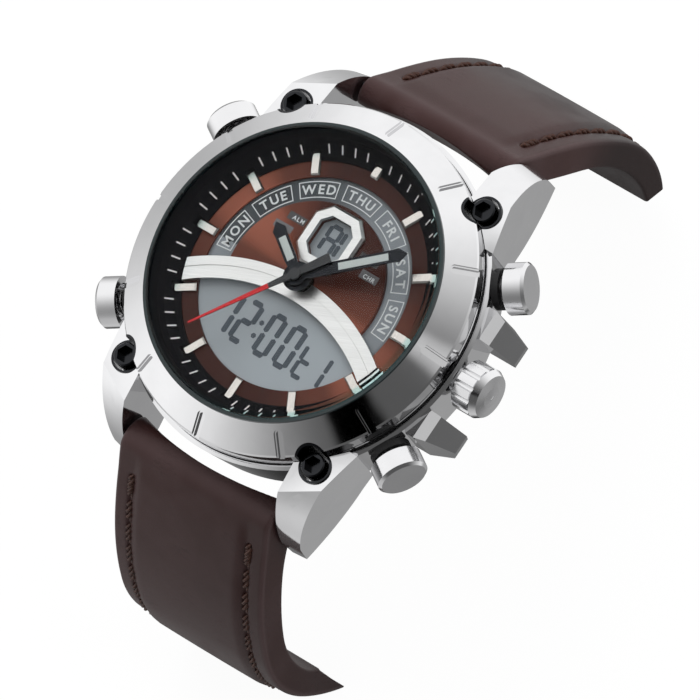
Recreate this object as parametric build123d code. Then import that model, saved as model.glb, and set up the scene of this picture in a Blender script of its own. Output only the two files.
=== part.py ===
from build123d import *
import math
import os

# A man's analogue and digital wristwatch, in millimetres.
# Z = 0 is the outer face of the case back, +Z goes out through the crystal,
# +Y points to 12 o'clock and +X to the crown at 3 o'clock.

os.makedirs("parts", exist_ok=True)

# Driving sizes of the whole watch
BEZEL_R = 22.5          # outer radius of the bezel
BEZEL_INNER_R = 19.1    # where the bezel's sloping face meets the crystal
LUG_GAP = 24.2          # free width between the lugs
STRAP_W = 23.4          # width of the strap
CUT = 60.0              # overrun of every cutting tool

# Heights of the stack, from the case back up
BACK_T = 1.0            # flange of the case back
BACK_SPIGOT_T = 0.4     # spigot of the case back inside the case
BUZZER_T = 0.2
CLIP_T = 0.15           # sheet of the battery clip
AIR = 0.05              # play between pieces that lie on each other
BATTERY_T = 1.6
BOARD_T = 0.6
BRIDGE_T = 0.4
TRAIN_H = 2.5           # room of the going train
PLATE_T = 0.5
MOTION_H = 0.8          # room of the motion work under the display
LCD_T = 0.8
DIAL_T = 0.65

BACK_IN_Z = BACK_T + BACK_SPIGOT_T
BUZZER_Z1 = BACK_IN_Z + BUZZER_T
CLIP_Z0 = BUZZER_Z1 + AIR
BATTERY_Z0 = CLIP_Z0 + CLIP_T
BATTERY_Z1 = BATTERY_Z0 + BATTERY_T
BOARD_Z0 = BATTERY_Z1 + AIR
BOARD_Z1 = BOARD_Z0 + BOARD_T
BRIDGE_Z1 = BOARD_Z1 + BRIDGE_T
PLATE_Z0 = BRIDGE_Z1 + TRAIN_H
PLATE_Z1 = PLATE_Z0 + PLATE_T
LCD_Z0 = PLATE_Z1 + MOTION_H
LCD_Z1 = LCD_Z0 + LCD_T
DIAL_Z = LCD_Z1 + DIAL_T
STEM_Z = (BOARD_Z1 + PLATE_Z0) / 2

# Radii inside the case
CAVITY_R = 16.6         # bore of the case round the movement
HOLDER_PLAY = 0.13
HOLDER_R = CAVITY_R - HOLDER_PLAY
HOLDER_IN_R = 15.0
HOLDER_LEDGE = 0.8      # width of the two ledges inside the movement holder
HOLDER_LEDGE_T = 0.3
MODULE_PLAY = 0.1
BOARD_R = HOLDER_IN_R - MODULE_PLAY
LCD_R = 13.9
BATTERY_R = 10.0


def ring(outer, inner, low, high):
    """Flat ring about Z between two heights."""
    blank = Cylinder(outer, high - low, align=(Align.CENTER, Align.CENTER, Align.MIN))
    bore = Cylinder(inner, high - low, align=(Align.CENTER, Align.CENTER, Align.MIN))
    return Pos(0, 0, low) * (blank - bore)


def disc(radius, low, high, x=0, y=0):
    """Round plate or post between two heights."""
    return Pos(x, y, low) * Cylinder(radius, high - low, align=(Align.CENTER, Align.CENTER, Align.MIN))


def block(x0, x1, y0, y1, z0, z1):
    """Box between two corners."""
    return Pos(x0, y0, z0) * Box(x1 - x0, y1 - y0, z1 - z0, align=(Align.MIN, Align.MIN, Align.MIN))


def turned(points):
    """Solid of revolution about Z from an outline of radius and height pairs."""
    outline = Polyline(*[(radius, 0, height) for radius, height in points], close=True)
    return revolve(make_face(outline), Axis.Z)


def outward(angle, height):
    """Plane whose normal points away from the middle of the watch at an angle and a height."""
    turn = math.radians(angle)
    return Plane(origin=(0, 0, height), x_dir=(-math.sin(turn), math.cos(turn), 0), z_dir=(math.cos(turn), math.sin(turn), 0))


def rod(angle, height, radius, start, end):
    """Round bar that lies on a radial line, between two distances from the middle."""
    bar = Cylinder(radius, end - start, align=(Align.CENTER, Align.CENTER, Align.MIN))
    return outward(angle, height) * Pos(0, 0, start) * bar


def polar(radius, angle):
    turn = math.radians(angle)
    return radius * math.cos(turn), radius * math.sin(turn)


def save(name, *pieces):
    """Writes one node, with every piece as a solid of its own."""
    solids = [solid for piece in pieces for solid in piece.solids()]
    export_step(solids[0] if len(solids) == 1 else Compound(children=solids), f"parts/{name}.step")


# Middle case: a slightly tapered round body with lugs, crown guards and screw pockets
SHOULDER_DROP = 1.3     # the shoulder lies this far under the dial
CASE_R = 23.1           # radius at the shoulder
CASE_TAPER = 0.9        # the bottom edge is this much narrower
CASE_FOOT_R = CASE_R - CASE_TAPER
SHOULDER_EDGE = 0.35    # bevel at the shoulder
FOOT_EDGE = 0.4
CASE_LINE_GAP = 0.08    # thin line turned in the shoulder, this far outside the bezel
CASE_LINE_W = 0.14
CASE_LINE_T = 0.2
SPIGOT_R = 21.6         # collar that the bezel is pressed over
SPIGOT_IN_R = 19.45
SPIGOT_RISE = 0.55      # top of the collar over the dial
LEDGE_DROP = 0.4        # seat of the minute ring under the dial
SHOULDER_Z = DIAL_Z - SHOULDER_DROP
SPIGOT_Z = DIAL_Z + SPIGOT_RISE
LEDGE_Z = DIAL_Z - LEDGE_DROP
SPIGOT_LEAD = 0.15

# Lugs: one ruled block each, between an inner and an outer outline, trimmed by the side facet
LUG_IN_X = LUG_GAP / 2
LUG_WIDE = 6.9
LUG_OUT_X = LUG_IN_X + LUG_WIDE
LUG_ROOT_Y = 14.5
LUG_REACH = 3.9         # the tips stand this far past the shoulder's radius
LUG_TIP_Y = CASE_R + LUG_REACH
LUG_BOTTOM = 2.9        # the tips hang this far under the case back
LUG_TOP = 1.85          # the inner edge stands this far over the shoulder at the root
LUG_LEN = LUG_TIP_Y - LUG_ROOT_Y
LUG_H = SHOULDER_Z + LUG_TOP + LUG_BOTTOM
# Along the lug from root to tip, and down from its top to its bottom
LUG_IN_SHARES = ((0.0, 0.0), (0.672, 0.133), (0.88, 0.395), (1.0, 0.737), (0.992, 1.0), (0.70, 0.962), (0.152, 0.779), (0.0, 0.72))
LUG_OUT_SHARES = ((0.0, 0.15), (0.384, 0.09), (0.632, 0.276), (0.916, 0.737), (0.952, 1.0), (0.66, 0.962), (0.152, 0.779), (0.0, 0.72))
# Side facet through three points: across, along and down
LUG_SIDE_SHARES = ((0.955, 0.064, 0.135), (0.90, 0.472, 0.105), (0.774, 0.968, 0.737))

# Cap screws in the lugs, sunk in round pockets that bite into the bezel
SCREW_X = 14.75
SCREW_Y = 18.2
SCREW_HEAD_R = 1.5
SCREW_HEAD_H = 2.3
SCREW_SHANK_R = 0.75
SCREW_SHANK_L = 3.0
SCREW_POCKET_R = 2.1
SCREW_SOCKET_R = 1.12   # across the corners of the hexagon
SCREW_SOCKET_H = 1.2
SCREW_TOP = 0.3         # the heads stand this far over the dial
SCREW_EDGE = 0.15
SCREW_HEAD_Z = DIAL_Z + SCREW_TOP - SCREW_HEAD_H
SCREW_FIT = 0.02
BUSH_WALL = 0.3         # black bush that lines a pocket
BUSH_DROP = 0.55        # outside the bezel its rim stands this far under the dial

# Crown guards: two ruled wedges beside the crown
GUARD_IN_Y = 5.1
GUARD_OUT_Y = 9.0
GUARD_TIP_Y = 7.6       # outer side at the tip
GUARD_ROOT_X = CASE_R - 3.1
GUARD_TIP_X = CASE_R + 2.9
GUARD_TOP_DROP = 1.4    # root under the shoulder
GUARD_RIDGE_DROP = 2.3
GUARD_TIP_DROP = 5.6
GUARD_FOOT = 0.9        # bottom over the case back
GUARD_CREST_X = CASE_R - 0.8
GUARD_RIDGE_X = CASE_R + 0.4
GUARD_UNDERCUT = 0.7

# Holes of the case
BACK_R = 20.0           # case back flange
BACK_PLAY = 0.1
BACK_SPIGOT_R = CAVITY_R - BACK_PLAY
BACK_SEAL_R = 18.0      # middle of the groove for the back's seal
BACK_SEAL_W = 0.6
BACK_SEAL_T = 0.5
BACK_SCREW_R = 19.1     # circle of the four case back screws
BACK_SCREW_HEAD_R = 0.75
BACK_SCREW_HEAD_H = 0.5
BACK_SCREW_SHANK_R = 0.4
BACK_SCREW_L = 2.2
BACK_SCREW_ANGLES = (45, 135, 225, 315)

# Spring bars
BAR_INSET = 1.6         # from the lug tips to the spring bars
BAR_Y = LUG_TIP_Y - BAR_INSET
BAR_Z = 2.35
BAR_R = 0.9
BAR_BORE_R = 0.72
BAR_TUBE_L = 20.0
BAR_LIP = 0.3           # crimped end of the tube
TIP_R = 0.4
TIP_COLLAR_R = 0.68
TIP_COLLAR_L = 1.0
TIP_IN_LUG = 1.1        # how far a tip stands in the lug
TIP_STROKE = 1.3
RUNNING = 0.04          # radial play of every turning or sliding fit

# Crown and its tube
CROWN_R = 3.2
CROWN_GAP = 0.4         # between the case and the pushed-in crown
CROWN_L = 3.65
CROWN_RIM_L = 2.85      # length before the rim starts to slope in
CROWN_X0 = CASE_R + CROWN_GAP
CROWN_X1 = CROWN_X0 + CROWN_L
CROWN_RIM_X = CROWN_X0 + CROWN_RIM_L
CROWN_FACE_R = 2.75
CROWN_DOME = 0.18
CROWN_FLUTES = 12
CROWN_FLUTE_R = 0.36
CROWN_FLUTE_H = 0.32    # depth of a flute
CROWN_NECK_L = 0.22     # groove between the flutes and the rim
CROWN_NECK_T = 0.32
CROWN_FLUTE_SHIFT = 0.5
CROWN_BORE_R = 2.25
CROWN_BORE_L = 2.3
CROWN_EDGE = 0.25
CROWN_PULL = 1.2
TUBE_R = 1.75
TUBE_BORE_R = 0.95
TUBE_IN_CROWN = 1.9
TUBE_OUT_X = CROWN_X0 + TUBE_IN_CROWN
TUBE_IN_X = 18.0

# Pushers
PUSH_ANGLES = {"2": 30, "4": -30, "8": 210, "10": 150}
PUSH_R = 3.15
PUSH_STAND = 4.2        # outer face of the caps past the shoulder's radius
PUSH_OUT = CASE_R + PUSH_STAND
PUSH_CAP_L = 2.6
PUSH_EDGE = 0.35
PUSH_TRAVEL = 0.75
PUSH_STEM_R = 0.9
PUSH_STEM_IN = 15.75    # inner end of the stems from the middle
PUSH_TUBE_R = 1.7
PUSH_TUBE_IN = 17.6
PUSH_TUBE_OUT = PUSH_OUT - PUSH_CAP_L - PUSH_TRAVEL
PUSH_WELL_R = 2.3       # well inside the cap for the spring
PUSH_WELL_L = 1.2
PUSH_SEAL_R = 2.5       # black washer round the tube outside the case
PUSH_FLAT_R = 3.3       # spot face on the case behind the cap
PUSH_FLAT_T = 0.1
PUSH_FLAT_AT = CASE_R - PUSH_FLAT_T


def lug_outline(x, shares):
    """Closed outline of a lug in one plane across the watch, rounded at its end and along its belly."""
    top = SHOULDER_Z + LUG_TOP
    spots = [(x, LUG_ROOT_Y + along * LUG_LEN, top - down * LUG_H) for along, down in shares]
    root, crest, bend, tip, foot, belly, waist, heel = spots
    return make_face([
        Line(root, crest), ThreePointArc(crest, bend, tip), Line(tip, foot), ThreePointArc(foot, belly, waist),
        Line(waist, heel), Line(heel, root)])


def lug():
    """The lug at 1 o'clock; the others are its mirror images."""
    inner = lug_outline(LUG_IN_X, LUG_IN_SHARES)
    outer = lug_outline(LUG_OUT_X, LUG_OUT_SHARES)
    body = loft([inner, outer], ruled=True)
    top = SHOULDER_Z + LUG_TOP
    low, mid, high = [
        Vector(across * LUG_OUT_X, LUG_ROOT_Y + along * LUG_LEN, top - down * LUG_H)
        for across, along, down in LUG_SIDE_SHARES
    ]
    outwards = (mid - low).cross(high - low)
    if outwards.X < 0:
        outwards = -outwards
    side = Plane(origin=mid, z_dir=outwards)
    return body - side * Box(CUT, CUT, CUT, align=(Align.CENTER, Align.CENTER, Align.MIN))


def guard():
    """The crown guard between 2 and 3 o'clock."""
    crest = SHOULDER_Z - GUARD_TOP_DROP
    ridge = SHOULDER_Z - GUARD_RIDGE_DROP
    tip = SHOULDER_Z - GUARD_TIP_DROP
    outline = [
        (GUARD_ROOT_X, crest), (GUARD_CREST_X, crest), (GUARD_RIDGE_X, ridge), (GUARD_TIP_X, tip),
        (GUARD_TIP_X - GUARD_UNDERCUT, GUARD_FOOT), (GUARD_ROOT_X, GUARD_FOOT),
    ]
    face = make_face(Polyline(*[(x, GUARD_IN_Y, z) for x, z in outline], close=True))
    body = extrude(face, GUARD_OUT_Y - GUARD_IN_Y, dir=(0, 1, 0))
    run = Vector(GUARD_TIP_X - GUARD_CREST_X, GUARD_TIP_Y - GUARD_OUT_Y, 0)
    flank = Plane(origin=(GUARD_CREST_X, GUARD_OUT_Y, crest), x_dir=run, z_dir=(-run.Y, run.X, 0))
    return body - flank * Box(CUT, CUT, CUT, align=(Align.CENTER, Align.CENTER, Align.MIN))


def four(piece):
    """A piece and its mirror images at the other three lugs."""
    right = [piece, piece.mirror(Plane.XZ)]
    return right + [half.mirror(Plane.YZ) for half in right]


def mid_case():
    line_r = BEZEL_R + CASE_LINE_GAP
    body = turned([
        (CAVITY_R, BACK_T), (CASE_FOOT_R - FOOT_EDGE, BACK_T), (CASE_FOOT_R, BACK_T + FOOT_EDGE),
        (CASE_R, SHOULDER_Z - SHOULDER_EDGE), (CASE_R - SHOULDER_EDGE, SHOULDER_Z), (line_r + CASE_LINE_W, SHOULDER_Z),
        (line_r + CASE_LINE_W, SHOULDER_Z - CASE_LINE_T), (line_r, SHOULDER_Z - CASE_LINE_T), (line_r, SHOULDER_Z),
        (SPIGOT_R, SHOULDER_Z),
        (SPIGOT_R, SPIGOT_Z - SPIGOT_LEAD), (SPIGOT_R - SPIGOT_LEAD, SPIGOT_Z), (SPIGOT_IN_R, SPIGOT_Z),
        (SPIGOT_IN_R, LEDGE_Z), (CAVITY_R, LEDGE_Z),
    ])
    hollow = disc(SPIGOT_R, -CUT, CUT)
    for piece in four(lug()) + [guard(), guard().mirror(Plane.XZ)]:
        body = body + (piece - hollow)
    # The bezel and its seal sit over the shoulder, so what the lugs raise there is turned away
    body = body - ring(BEZEL_R + BEZEL_PLAY, SPIGOT_R, SHOULDER_Z, DIAL_Z + CUT)
    body = body - ring(CASE_FOOT_R + CASE_R, BACK_R + BACK_PLAY, -CUT, -LUG_BOTTOM)
    for pocket in four(disc(SCREW_POCKET_R, SCREW_HEAD_Z, DIAL_Z + CUT, SCREW_X, SCREW_Y)):
        body = body - pocket
    for hole in four(disc(SCREW_SHANK_R + SCREW_FIT, SCREW_HEAD_Z - SCREW_SHANK_L - AIR, DIAL_Z, SCREW_X, SCREW_Y)):
        body = body - hole
    body = body - ring(BACK_SEAL_R + BACK_SEAL_W / 2, BACK_SEAL_R - BACK_SEAL_W / 2, 0, BACK_T + BACK_SEAL_T)
    for angle in BACK_SCREW_ANGLES:
        x, y = polar(BACK_SCREW_R, angle)
        body = body - disc(BACK_SCREW_SHANK_R + SCREW_FIT, 0, BACK_T + BACK_SCREW_L, x, y)
    body = body - rod(0, STEM_Z, TUBE_R, HOLDER_IN_R, TUBE_OUT_X)
    for angle in PUSH_ANGLES.values():
        body = body - rod(angle, STEM_Z, PUSH_TUBE_R, HOLDER_IN_R, PUSH_TUBE_OUT)
        body = body - rod(angle, STEM_Z, PUSH_FLAT_R, PUSH_FLAT_AT, CUT)
    tip_hole = Rot(0, 90, 0) * Cylinder(TIP_R + RUNNING, TIP_IN_LUG + AIR, align=(Align.CENTER, Align.CENTER, Align.MIN))
    for hole in four(Pos(LUG_IN_X, BAR_Y, BAR_Z) * tip_hole):
        body = body - hole
    return body


# Bezel: a pressed-on ring with a sloping face, twelve slots and four bites at the screws
BEZEL_SKIRT_DROP = 0.75  # lower edge of its side under the dial
BEZEL_BAND_H = 2.05
BEZEL_RISE = 2.3        # the inner edge stands this far over the outer edge
BEZEL_LAND = 0.065      # flat top beside the crystal
BEZEL_BORE_R = BEZEL_INNER_R - BEZEL_LAND
BEZEL_PLAY = 0.05
SEAL_INSET = 0.35
SLOT_W = 1.15
SLOT_STEP = 0.2         # depth of the wide part of a slot
SLOT_FLOOR_W = 0.68
SLOT_DEPTH = 0.5
BEZEL_EDGE = 0.16
BEZEL_LINE_RISE = 0.3   # thin line round the side, over its lower edge
BEZEL_LINE_W = 0.14
BEZEL_LINE_T = 0.16
SLOT_START_R = 20.2
BEZEL_Z0 = DIAL_Z - BEZEL_SKIRT_DROP
BEZEL_Z1 = BEZEL_Z0 + BEZEL_BAND_H
BEZEL_Z2 = BEZEL_Z1 + BEZEL_RISE


def bezel_height(radius):
    """Height of the sloping face at a distance from the middle."""
    return BEZEL_Z1 + BEZEL_RISE * (BEZEL_R - radius) / (BEZEL_R - BEZEL_INNER_R)


def slot_tool(run, width, depth):
    """Cutter for one level of a slot, round at its inner end."""
    outline = Pos(run / 2, 0) * Rectangle(run, width) + Circle(width / 2)
    return Pos(0, 0, -depth) * extrude(outline, depth + CUT)


def bezel():
    line_z = BEZEL_Z0 + BEZEL_LINE_RISE
    body = turned([
        (BEZEL_BORE_R, SPIGOT_Z), (SPIGOT_R + BEZEL_PLAY, SPIGOT_Z), (SPIGOT_R + BEZEL_PLAY, BEZEL_Z0),
        (BEZEL_R, BEZEL_Z0), (BEZEL_R, line_z), (BEZEL_R - BEZEL_LINE_T, line_z),
        (BEZEL_R - BEZEL_LINE_T, line_z + BEZEL_LINE_W), (BEZEL_R, line_z + BEZEL_LINE_W), (BEZEL_R, BEZEL_Z1 - BEZEL_EDGE),
        (BEZEL_R - BEZEL_EDGE, bezel_height(BEZEL_R - BEZEL_EDGE)), (BEZEL_INNER_R, BEZEL_Z2), (BEZEL_BORE_R, BEZEL_Z2),
    ])
    slope = math.degrees(math.atan2(BEZEL_RISE, BEZEL_R - BEZEL_INNER_R))
    start_z = bezel_height(SLOT_START_R)
    run = BEZEL_R - SLOT_START_R + BEZEL_R
    groove = slot_tool(run, SLOT_W, SLOT_STEP) + slot_tool(run, SLOT_FLOOR_W, SLOT_DEPTH)
    for hour in range(12):
        seat = Rot(0, 0, hour * 30) * Pos(SLOT_START_R, 0, start_z) * Rot(0, slope, 0)
        body = body - seat * groove
    for pocket in four(disc(SCREW_POCKET_R, 0, DIAL_Z + CUT, SCREW_X, SCREW_Y)):
        body = body - pocket
    return body


def bezel_seal():
    body = ring(BEZEL_R - SEAL_INSET, SPIGOT_R, SHOULDER_Z, BEZEL_Z0)
    for pocket in four(disc(SCREW_POCKET_R, 0, DIAL_Z + CUT, SCREW_X, SCREW_Y)):
        body = body - pocket
    return body


# Crystal on the minute ring, held by a seal in the bezel
CRYSTAL_R = 18.5
CRYSTAL_T = 1.3
CRYSTAL_EDGE = 0.42
CRYSTAL_SEAL_H = 0.45
RING_TOP_RISE = 3.4     # top of the minute ring over the dial
RING_INNER_R = 15.6
RING_LIP_RISE = 0.25
RING_LIP_R = 16.2
RING_STEP_R = 17.3
RING_STEP_RISE = 1.15
RING_BEND_R = 17.9
RING_BEND_RISE = 1.9
RING_TOP_R = 18.3
RING_OUT_R = 18.9
DIAL_STEP = 0.35        # the outer dial lies this much lower than the inner one
OUTER_DIAL_Z = DIAL_Z - DIAL_STEP
DIAL_R = 16.3
DIAL_OPENING_R = 13.6
RING_Z1 = DIAL_Z + RING_TOP_RISE


def minute_ring():
    """Sloping black ring, notched for the ends of the hour markers."""
    body = turned([
        (RING_INNER_R, OUTER_DIAL_Z), (RING_INNER_R, OUTER_DIAL_Z + RING_LIP_RISE), (RING_LIP_R, DIAL_Z + RING_LIP_RISE),
        (RING_STEP_R, DIAL_Z + RING_STEP_RISE), (RING_BEND_R, DIAL_Z + RING_BEND_RISE), (RING_TOP_R, RING_Z1),
        (RING_OUT_R, RING_Z1), (RING_OUT_R, LEDGE_Z), (CAVITY_R, LEDGE_Z), (CAVITY_R, OUTER_DIAL_Z),
    ])
    end = MARKER_OUT_R + MARKER_PLAY
    half = MARKER_W / 2 + MARKER_PLAY
    recess = block(RING_INNER_R - RING_LIP_RISE, end, -half, half, OUTER_DIAL_Z, RING_Z1)
    for hour in range(12):
        body = body - Rot(0, 0, hour * 30) * recess
    return body


def crystal():
    body = disc(CRYSTAL_R, RING_Z1, RING_Z1 + CRYSTAL_T)
    return chamfer(body.edges().group_by(Axis.Z)[-1], CRYSTAL_EDGE)


def crystal_seal():
    return ring(BEZEL_BORE_R, CRYSTAL_R, RING_Z1, RING_Z1 + CRYSTAL_SEAL_H)


# Dial: an outer ring, an inner plate with its windows, a wide arch and an eight-sided frame
INNER_DIAL_R = 10.4
ARCH_TOP_Y = 0.25       # top of the arch on the middle line
ARCH_IN_R = 23.2
ARCH_W = 2.8
ARCH_OUT_R = ARCH_IN_R + ARCH_W
ARCH_CENTRE_Y = ARCH_TOP_Y - ARCH_OUT_R
ARCH_END_R = 15.5
ARCH_T = 0.45
ARCH_GROOVE_W = 0.12
ARCH_GROOVE_T = 0.15
ARCH_GROOVE_SHARE = 0.55
ARCH_GAP = 0.15         # free space round the arch
OCT_Y = 5.95            # middle of the eight-sided frame
OCT_W = 7.6
OCT_L = 7.9
OCT_CORNER = 1.75
OCT_WALL = 1.28
OCT_T = 0.6
OCT_BEVEL = 0.3
SIDE_WINDOW_W = 2.3     # the two small windows beside the frame
SIDE_WINDOW_H = 1.1
SIDE_WINDOW_X = 5.5
SIDE_WINDOW_Y = 5.6
SIDE_WINDOW_TILT = 28.0
ARBOR_HOLE_R = 1.35


def arch_band(low_r, high_r, end_r, low, high):
    """Band between two arcs about the arch's centre, ended on a circle about the dial."""
    band = Pos(0, ARCH_CENTRE_Y) * ring(high_r, low_r, low, high)
    return band - ring(2 * ARCH_OUT_R + end_r, end_r, low, high)


def octagon(width, length, corner):
    x, y = width / 2, length / 2
    spots = [(x, y - corner), (x - corner, y), (corner - x, y), (-x, y - corner),
             (-x, corner - y), (corner - x, -y), (x - corner, -y), (x, corner - y)]
    return Pos(0, OCT_Y) * make_face(Polyline(*spots, close=True))


def side_windows(width, height):
    """The two small windows, mirror images about the middle line."""
    right = Pos(SIDE_WINDOW_X, SIDE_WINDOW_Y) * Rot(0, 0, -SIDE_WINDOW_TILT) * Rectangle(width, height)
    return right + right.mirror(Plane.YZ)


def dial():
    return ring(DIAL_R, DIAL_OPENING_R, LCD_Z1, OUTER_DIAL_Z)


def inner_dial():
    """Upper plate, closed below by the arch, with the frame's opening and two windows."""
    below_arch = Pos(0, ARCH_CENTRE_Y) * Circle((ARCH_OUT_R + ARCH_IN_R) / 2)
    window = octagon(OCT_W - 2 * OCT_WALL, OCT_L - 2 * OCT_WALL, OCT_CORNER - OCT_WALL / 2)
    plate = Circle(INNER_DIAL_R) - below_arch - window - side_windows(SIDE_WINDOW_W, SIDE_WINDOW_H)
    body = Pos(0, 0, LCD_Z1) * extrude(plate, DIAL_T)
    return body - disc(ARBOR_HOLE_R, LCD_Z1, DIAL_Z)


def arch():
    """Raised band across the display, on the outer dial at both ends, with a line cut along its middle."""
    top = DIAL_Z + ARCH_T
    body = arch_band(ARCH_IN_R, ARCH_OUT_R, ARCH_END_R, OUTER_DIAL_Z, top)
    body = body - disc(DIAL_OPENING_R, OUTER_DIAL_Z, DIAL_Z)
    middle = ARCH_IN_R + ARCH_W * ARCH_GROOVE_SHARE
    body = body - arch_band(middle, middle + ARCH_GROOVE_W, ARCH_END_R + ARCH_GAP, top - ARCH_GROOVE_T, top)
    return body - disc(ARBOR_HOLE_R, DIAL_Z, top)


def octagon_frame():
    body = extrude(octagon(OCT_W, OCT_L, OCT_CORNER), OCT_T)
    body = chamfer(body.edges().group_by(Axis.Z)[-1], OCT_BEVEL)
    window = octagon(OCT_W - 2 * OCT_WALL, OCT_L - 2 * OCT_WALL, OCT_CORNER - OCT_WALL / 2)
    body = body - extrude(window, OCT_T)
    return Pos(0, 0, DIAL_Z) * body


def lcd_panel():
    return ring(LCD_R, ARBOR_HOLE_R, LCD_Z0, LCD_Z1)


# Applied hour markers, faceted bars whose narrow outer ends lie in the ring's notches
MARKER_W = 1.1
MARKER_T = 0.42
MARKER_IN_R = 13.72
MARKER_NECK_R = 16.0    # where a marker narrows
MARKER_END_W = 0.74
MARKER_NECK_L = 0.2
MARKER_POINT = 0.15     # length of the blunt outer end
MARKER_OUT_R = 16.65
MARKER_NOON_IN_R = 15.0
MARKER_BEVEL = 0.25
MARKER_PLAY = 0.06


def hour_markers():
    """Twelve bars; the one at noon is shorter, to leave room above the day ring."""
    bars = []
    clear = arch_band(ARCH_IN_R - ARCH_GAP, ARCH_OUT_R + ARCH_GAP, ARCH_END_R + ARCH_GAP, LCD_Z1, DIAL_Z + CUT)
    for hour in range(12):
        inner = MARKER_NOON_IN_R if hour == 0 else MARKER_IN_R
        half = MARKER_W / 2
        thin = MARKER_END_W / 2
        outline = Polyline(
            (inner, -half), (MARKER_NECK_R, -half), (MARKER_NECK_R + MARKER_NECK_L, -thin),
            (MARKER_OUT_R - MARKER_POINT, -thin), (MARKER_OUT_R, MARKER_POINT - thin), (MARKER_OUT_R, thin - MARKER_POINT),
            (MARKER_OUT_R - MARKER_POINT, thin), (MARKER_NECK_R + MARKER_NECK_L, thin), (MARKER_NECK_R, half), (inner, half),
            close=True)
        bar = extrude(make_face(outline), MARKER_T)
        bar = chamfer(bar.edges().group_by(Axis.Z)[-1], MARKER_BEVEL)
        bars.append(Rot(0, 0, 90 - hour * 30) * Pos(0, 0, OUTER_DIAL_Z) * bar - clear)
    return bars


# Hands, at the positions that the dial shows
HOUR_LEN = 7.85
MINUTE_LEN = 14.1
SECOND_LEN = 14.2
HOUR_ANGLE = 146.0      # counted from 3 o'clock, against the clock
MINUTE_ANGLE = 39.2
SECOND_ANGLE = 233.9
HAND_T = 0.18
HOUR_HAND_RISE = 2.0    # underside over the dial
MINUTE_HAND_RISE = 2.45
SECOND_HAND_RISE = 2.9
HAND_HALF_W = 0.78
HAND_NECK_W = 0.5
HAND_HUB_R = 1.35
HAND_POINT = 2.0
HAND_NECK_SHARE = 1.4   # end of the neck, in hub radii
HAND_SHOULDER_SHARE = 0.55  # widest place of the point, from its tip
HAND_FLARE_SHARE = 1.12
LUME_HALF_W = 0.47
LUME_T = 0.06
HOUR_LUME_SHARES = (0.30, 0.72)
MINUTE_LUME_SHARES = (0.38, 0.83)
SECOND_TAIL = 4.7
SECOND_HALF_W = 0.2
SECOND_TAIL_HALF_W = 0.62
SECOND_BLACK_L = 3.6
SECOND_CAP_R = 0.75
SECOND_CAP_H = 0.3
SECOND_SEAT_T = 0.2     # depth of the cap's blind bore
HOUR_PIPE_R = 1.25
HOUR_PIPE_BORE_R = 0.92
CANNON_R = HOUR_PIPE_BORE_R - RUNNING
CANNON_BORE_R = 0.48
SECOND_ARBOR_R = CANNON_BORE_R - RUNNING
PIVOT_R = 0.2


def hand_blade(length, hub):
    """Flat outline of a hand along +X: hub, neck, parallel blade and a pentagonal point."""
    neck = hub * HAND_NECK_SHARE
    shoulder = length - HAND_POINT * HAND_SHOULDER_SHARE
    flare = HAND_HALF_W * HAND_FLARE_SHARE
    blade = Polyline(
        (0, -HAND_NECK_W), (neck, -HAND_HALF_W), (length - HAND_POINT, -HAND_HALF_W), (shoulder, -flare), (length, 0),
        (shoulder, flare), (length - HAND_POINT, HAND_HALF_W), (neck, HAND_HALF_W), (0, HAND_NECK_W), close=True)
    return make_face(blade) + Circle(hub)


def lume_block(length, shares):
    start, end = [length * share for share in shares]
    return Pos((start + end) / 2, 0) * Rectangle(end - start, 2 * LUME_HALF_W)


def hand(length, hub, bore, low, angle, shares):
    """Hand with a shallow seat for its luminous paint."""
    body = extrude(hand_blade(length, hub) - Circle(bore), HAND_T)
    body = body - Pos(0, 0, HAND_T - LUME_T) * extrude(lume_block(length, shares), LUME_T)
    return Rot(0, 0, angle) * Pos(0, 0, low) * body


def second_hand():
    """Thin hand with a broad tail on its own cap; its arbor belongs to the seconds wheel."""
    low = DIAL_Z + SECOND_HAND_RISE
    blade = Polyline(
        (-SECOND_TAIL, -SECOND_TAIL_HALF_W), (SECOND_BLACK_L, -SECOND_HALF_W * 1.5), (SECOND_LEN, -SECOND_HALF_W / 2),
        (SECOND_LEN, SECOND_HALF_W / 2), (SECOND_BLACK_L, SECOND_HALF_W * 1.5), (-SECOND_TAIL, SECOND_TAIL_HALF_W), close=True)
    body = extrude(make_face(blade), HAND_T) + disc(SECOND_CAP_R, 0, SECOND_CAP_H)
    body = body - disc(SECOND_ARBOR_R, 0, SECOND_SEAT_T)
    return Rot(0, 0, SECOND_ANGLE) * Pos(0, 0, low) * body


# Wheels of the movement: ratios come from the tooth counts
HALF_TURN = 180
STEP_MODULE = 0.26      # seconds wheel and the pinion that drives it
FINE_MODULE = 0.2
MOTION_MODULE = 0.245   # motion work under the display
WHEEL_T = 0.3
ARBOR_R = 0.35
ROTOR_PINION_TEETH = 6
STEP_WHEEL_TEETH = 30
STEP_PINION_TEETH = 6
SECOND_WHEEL_TEETH = 36
SECOND_PINION_TEETH = 6
THIRD_WHEEL_TEETH = 48
THIRD_PINION_TEETH = 6
CENTRE_WHEEL_TEETH = 45
CANNON_PINION_TEETH = 10
MINUTE_WHEEL_TEETH = 30
MINUTE_PINION_TEETH = 8
HOUR_WHEEL_TEETH = 32
MESH_PLAY = 0.03
TOOTH_TIP = 0.85        # height over the pitch circle, in modules
TOOTH_ROOT = 1.15       # depth under the pitch circle, in modules
TOOTH_SHARES = (0.56, 0.40, 0.12)  # widths at root, pitch and tip, as shares of the pitch

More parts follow.
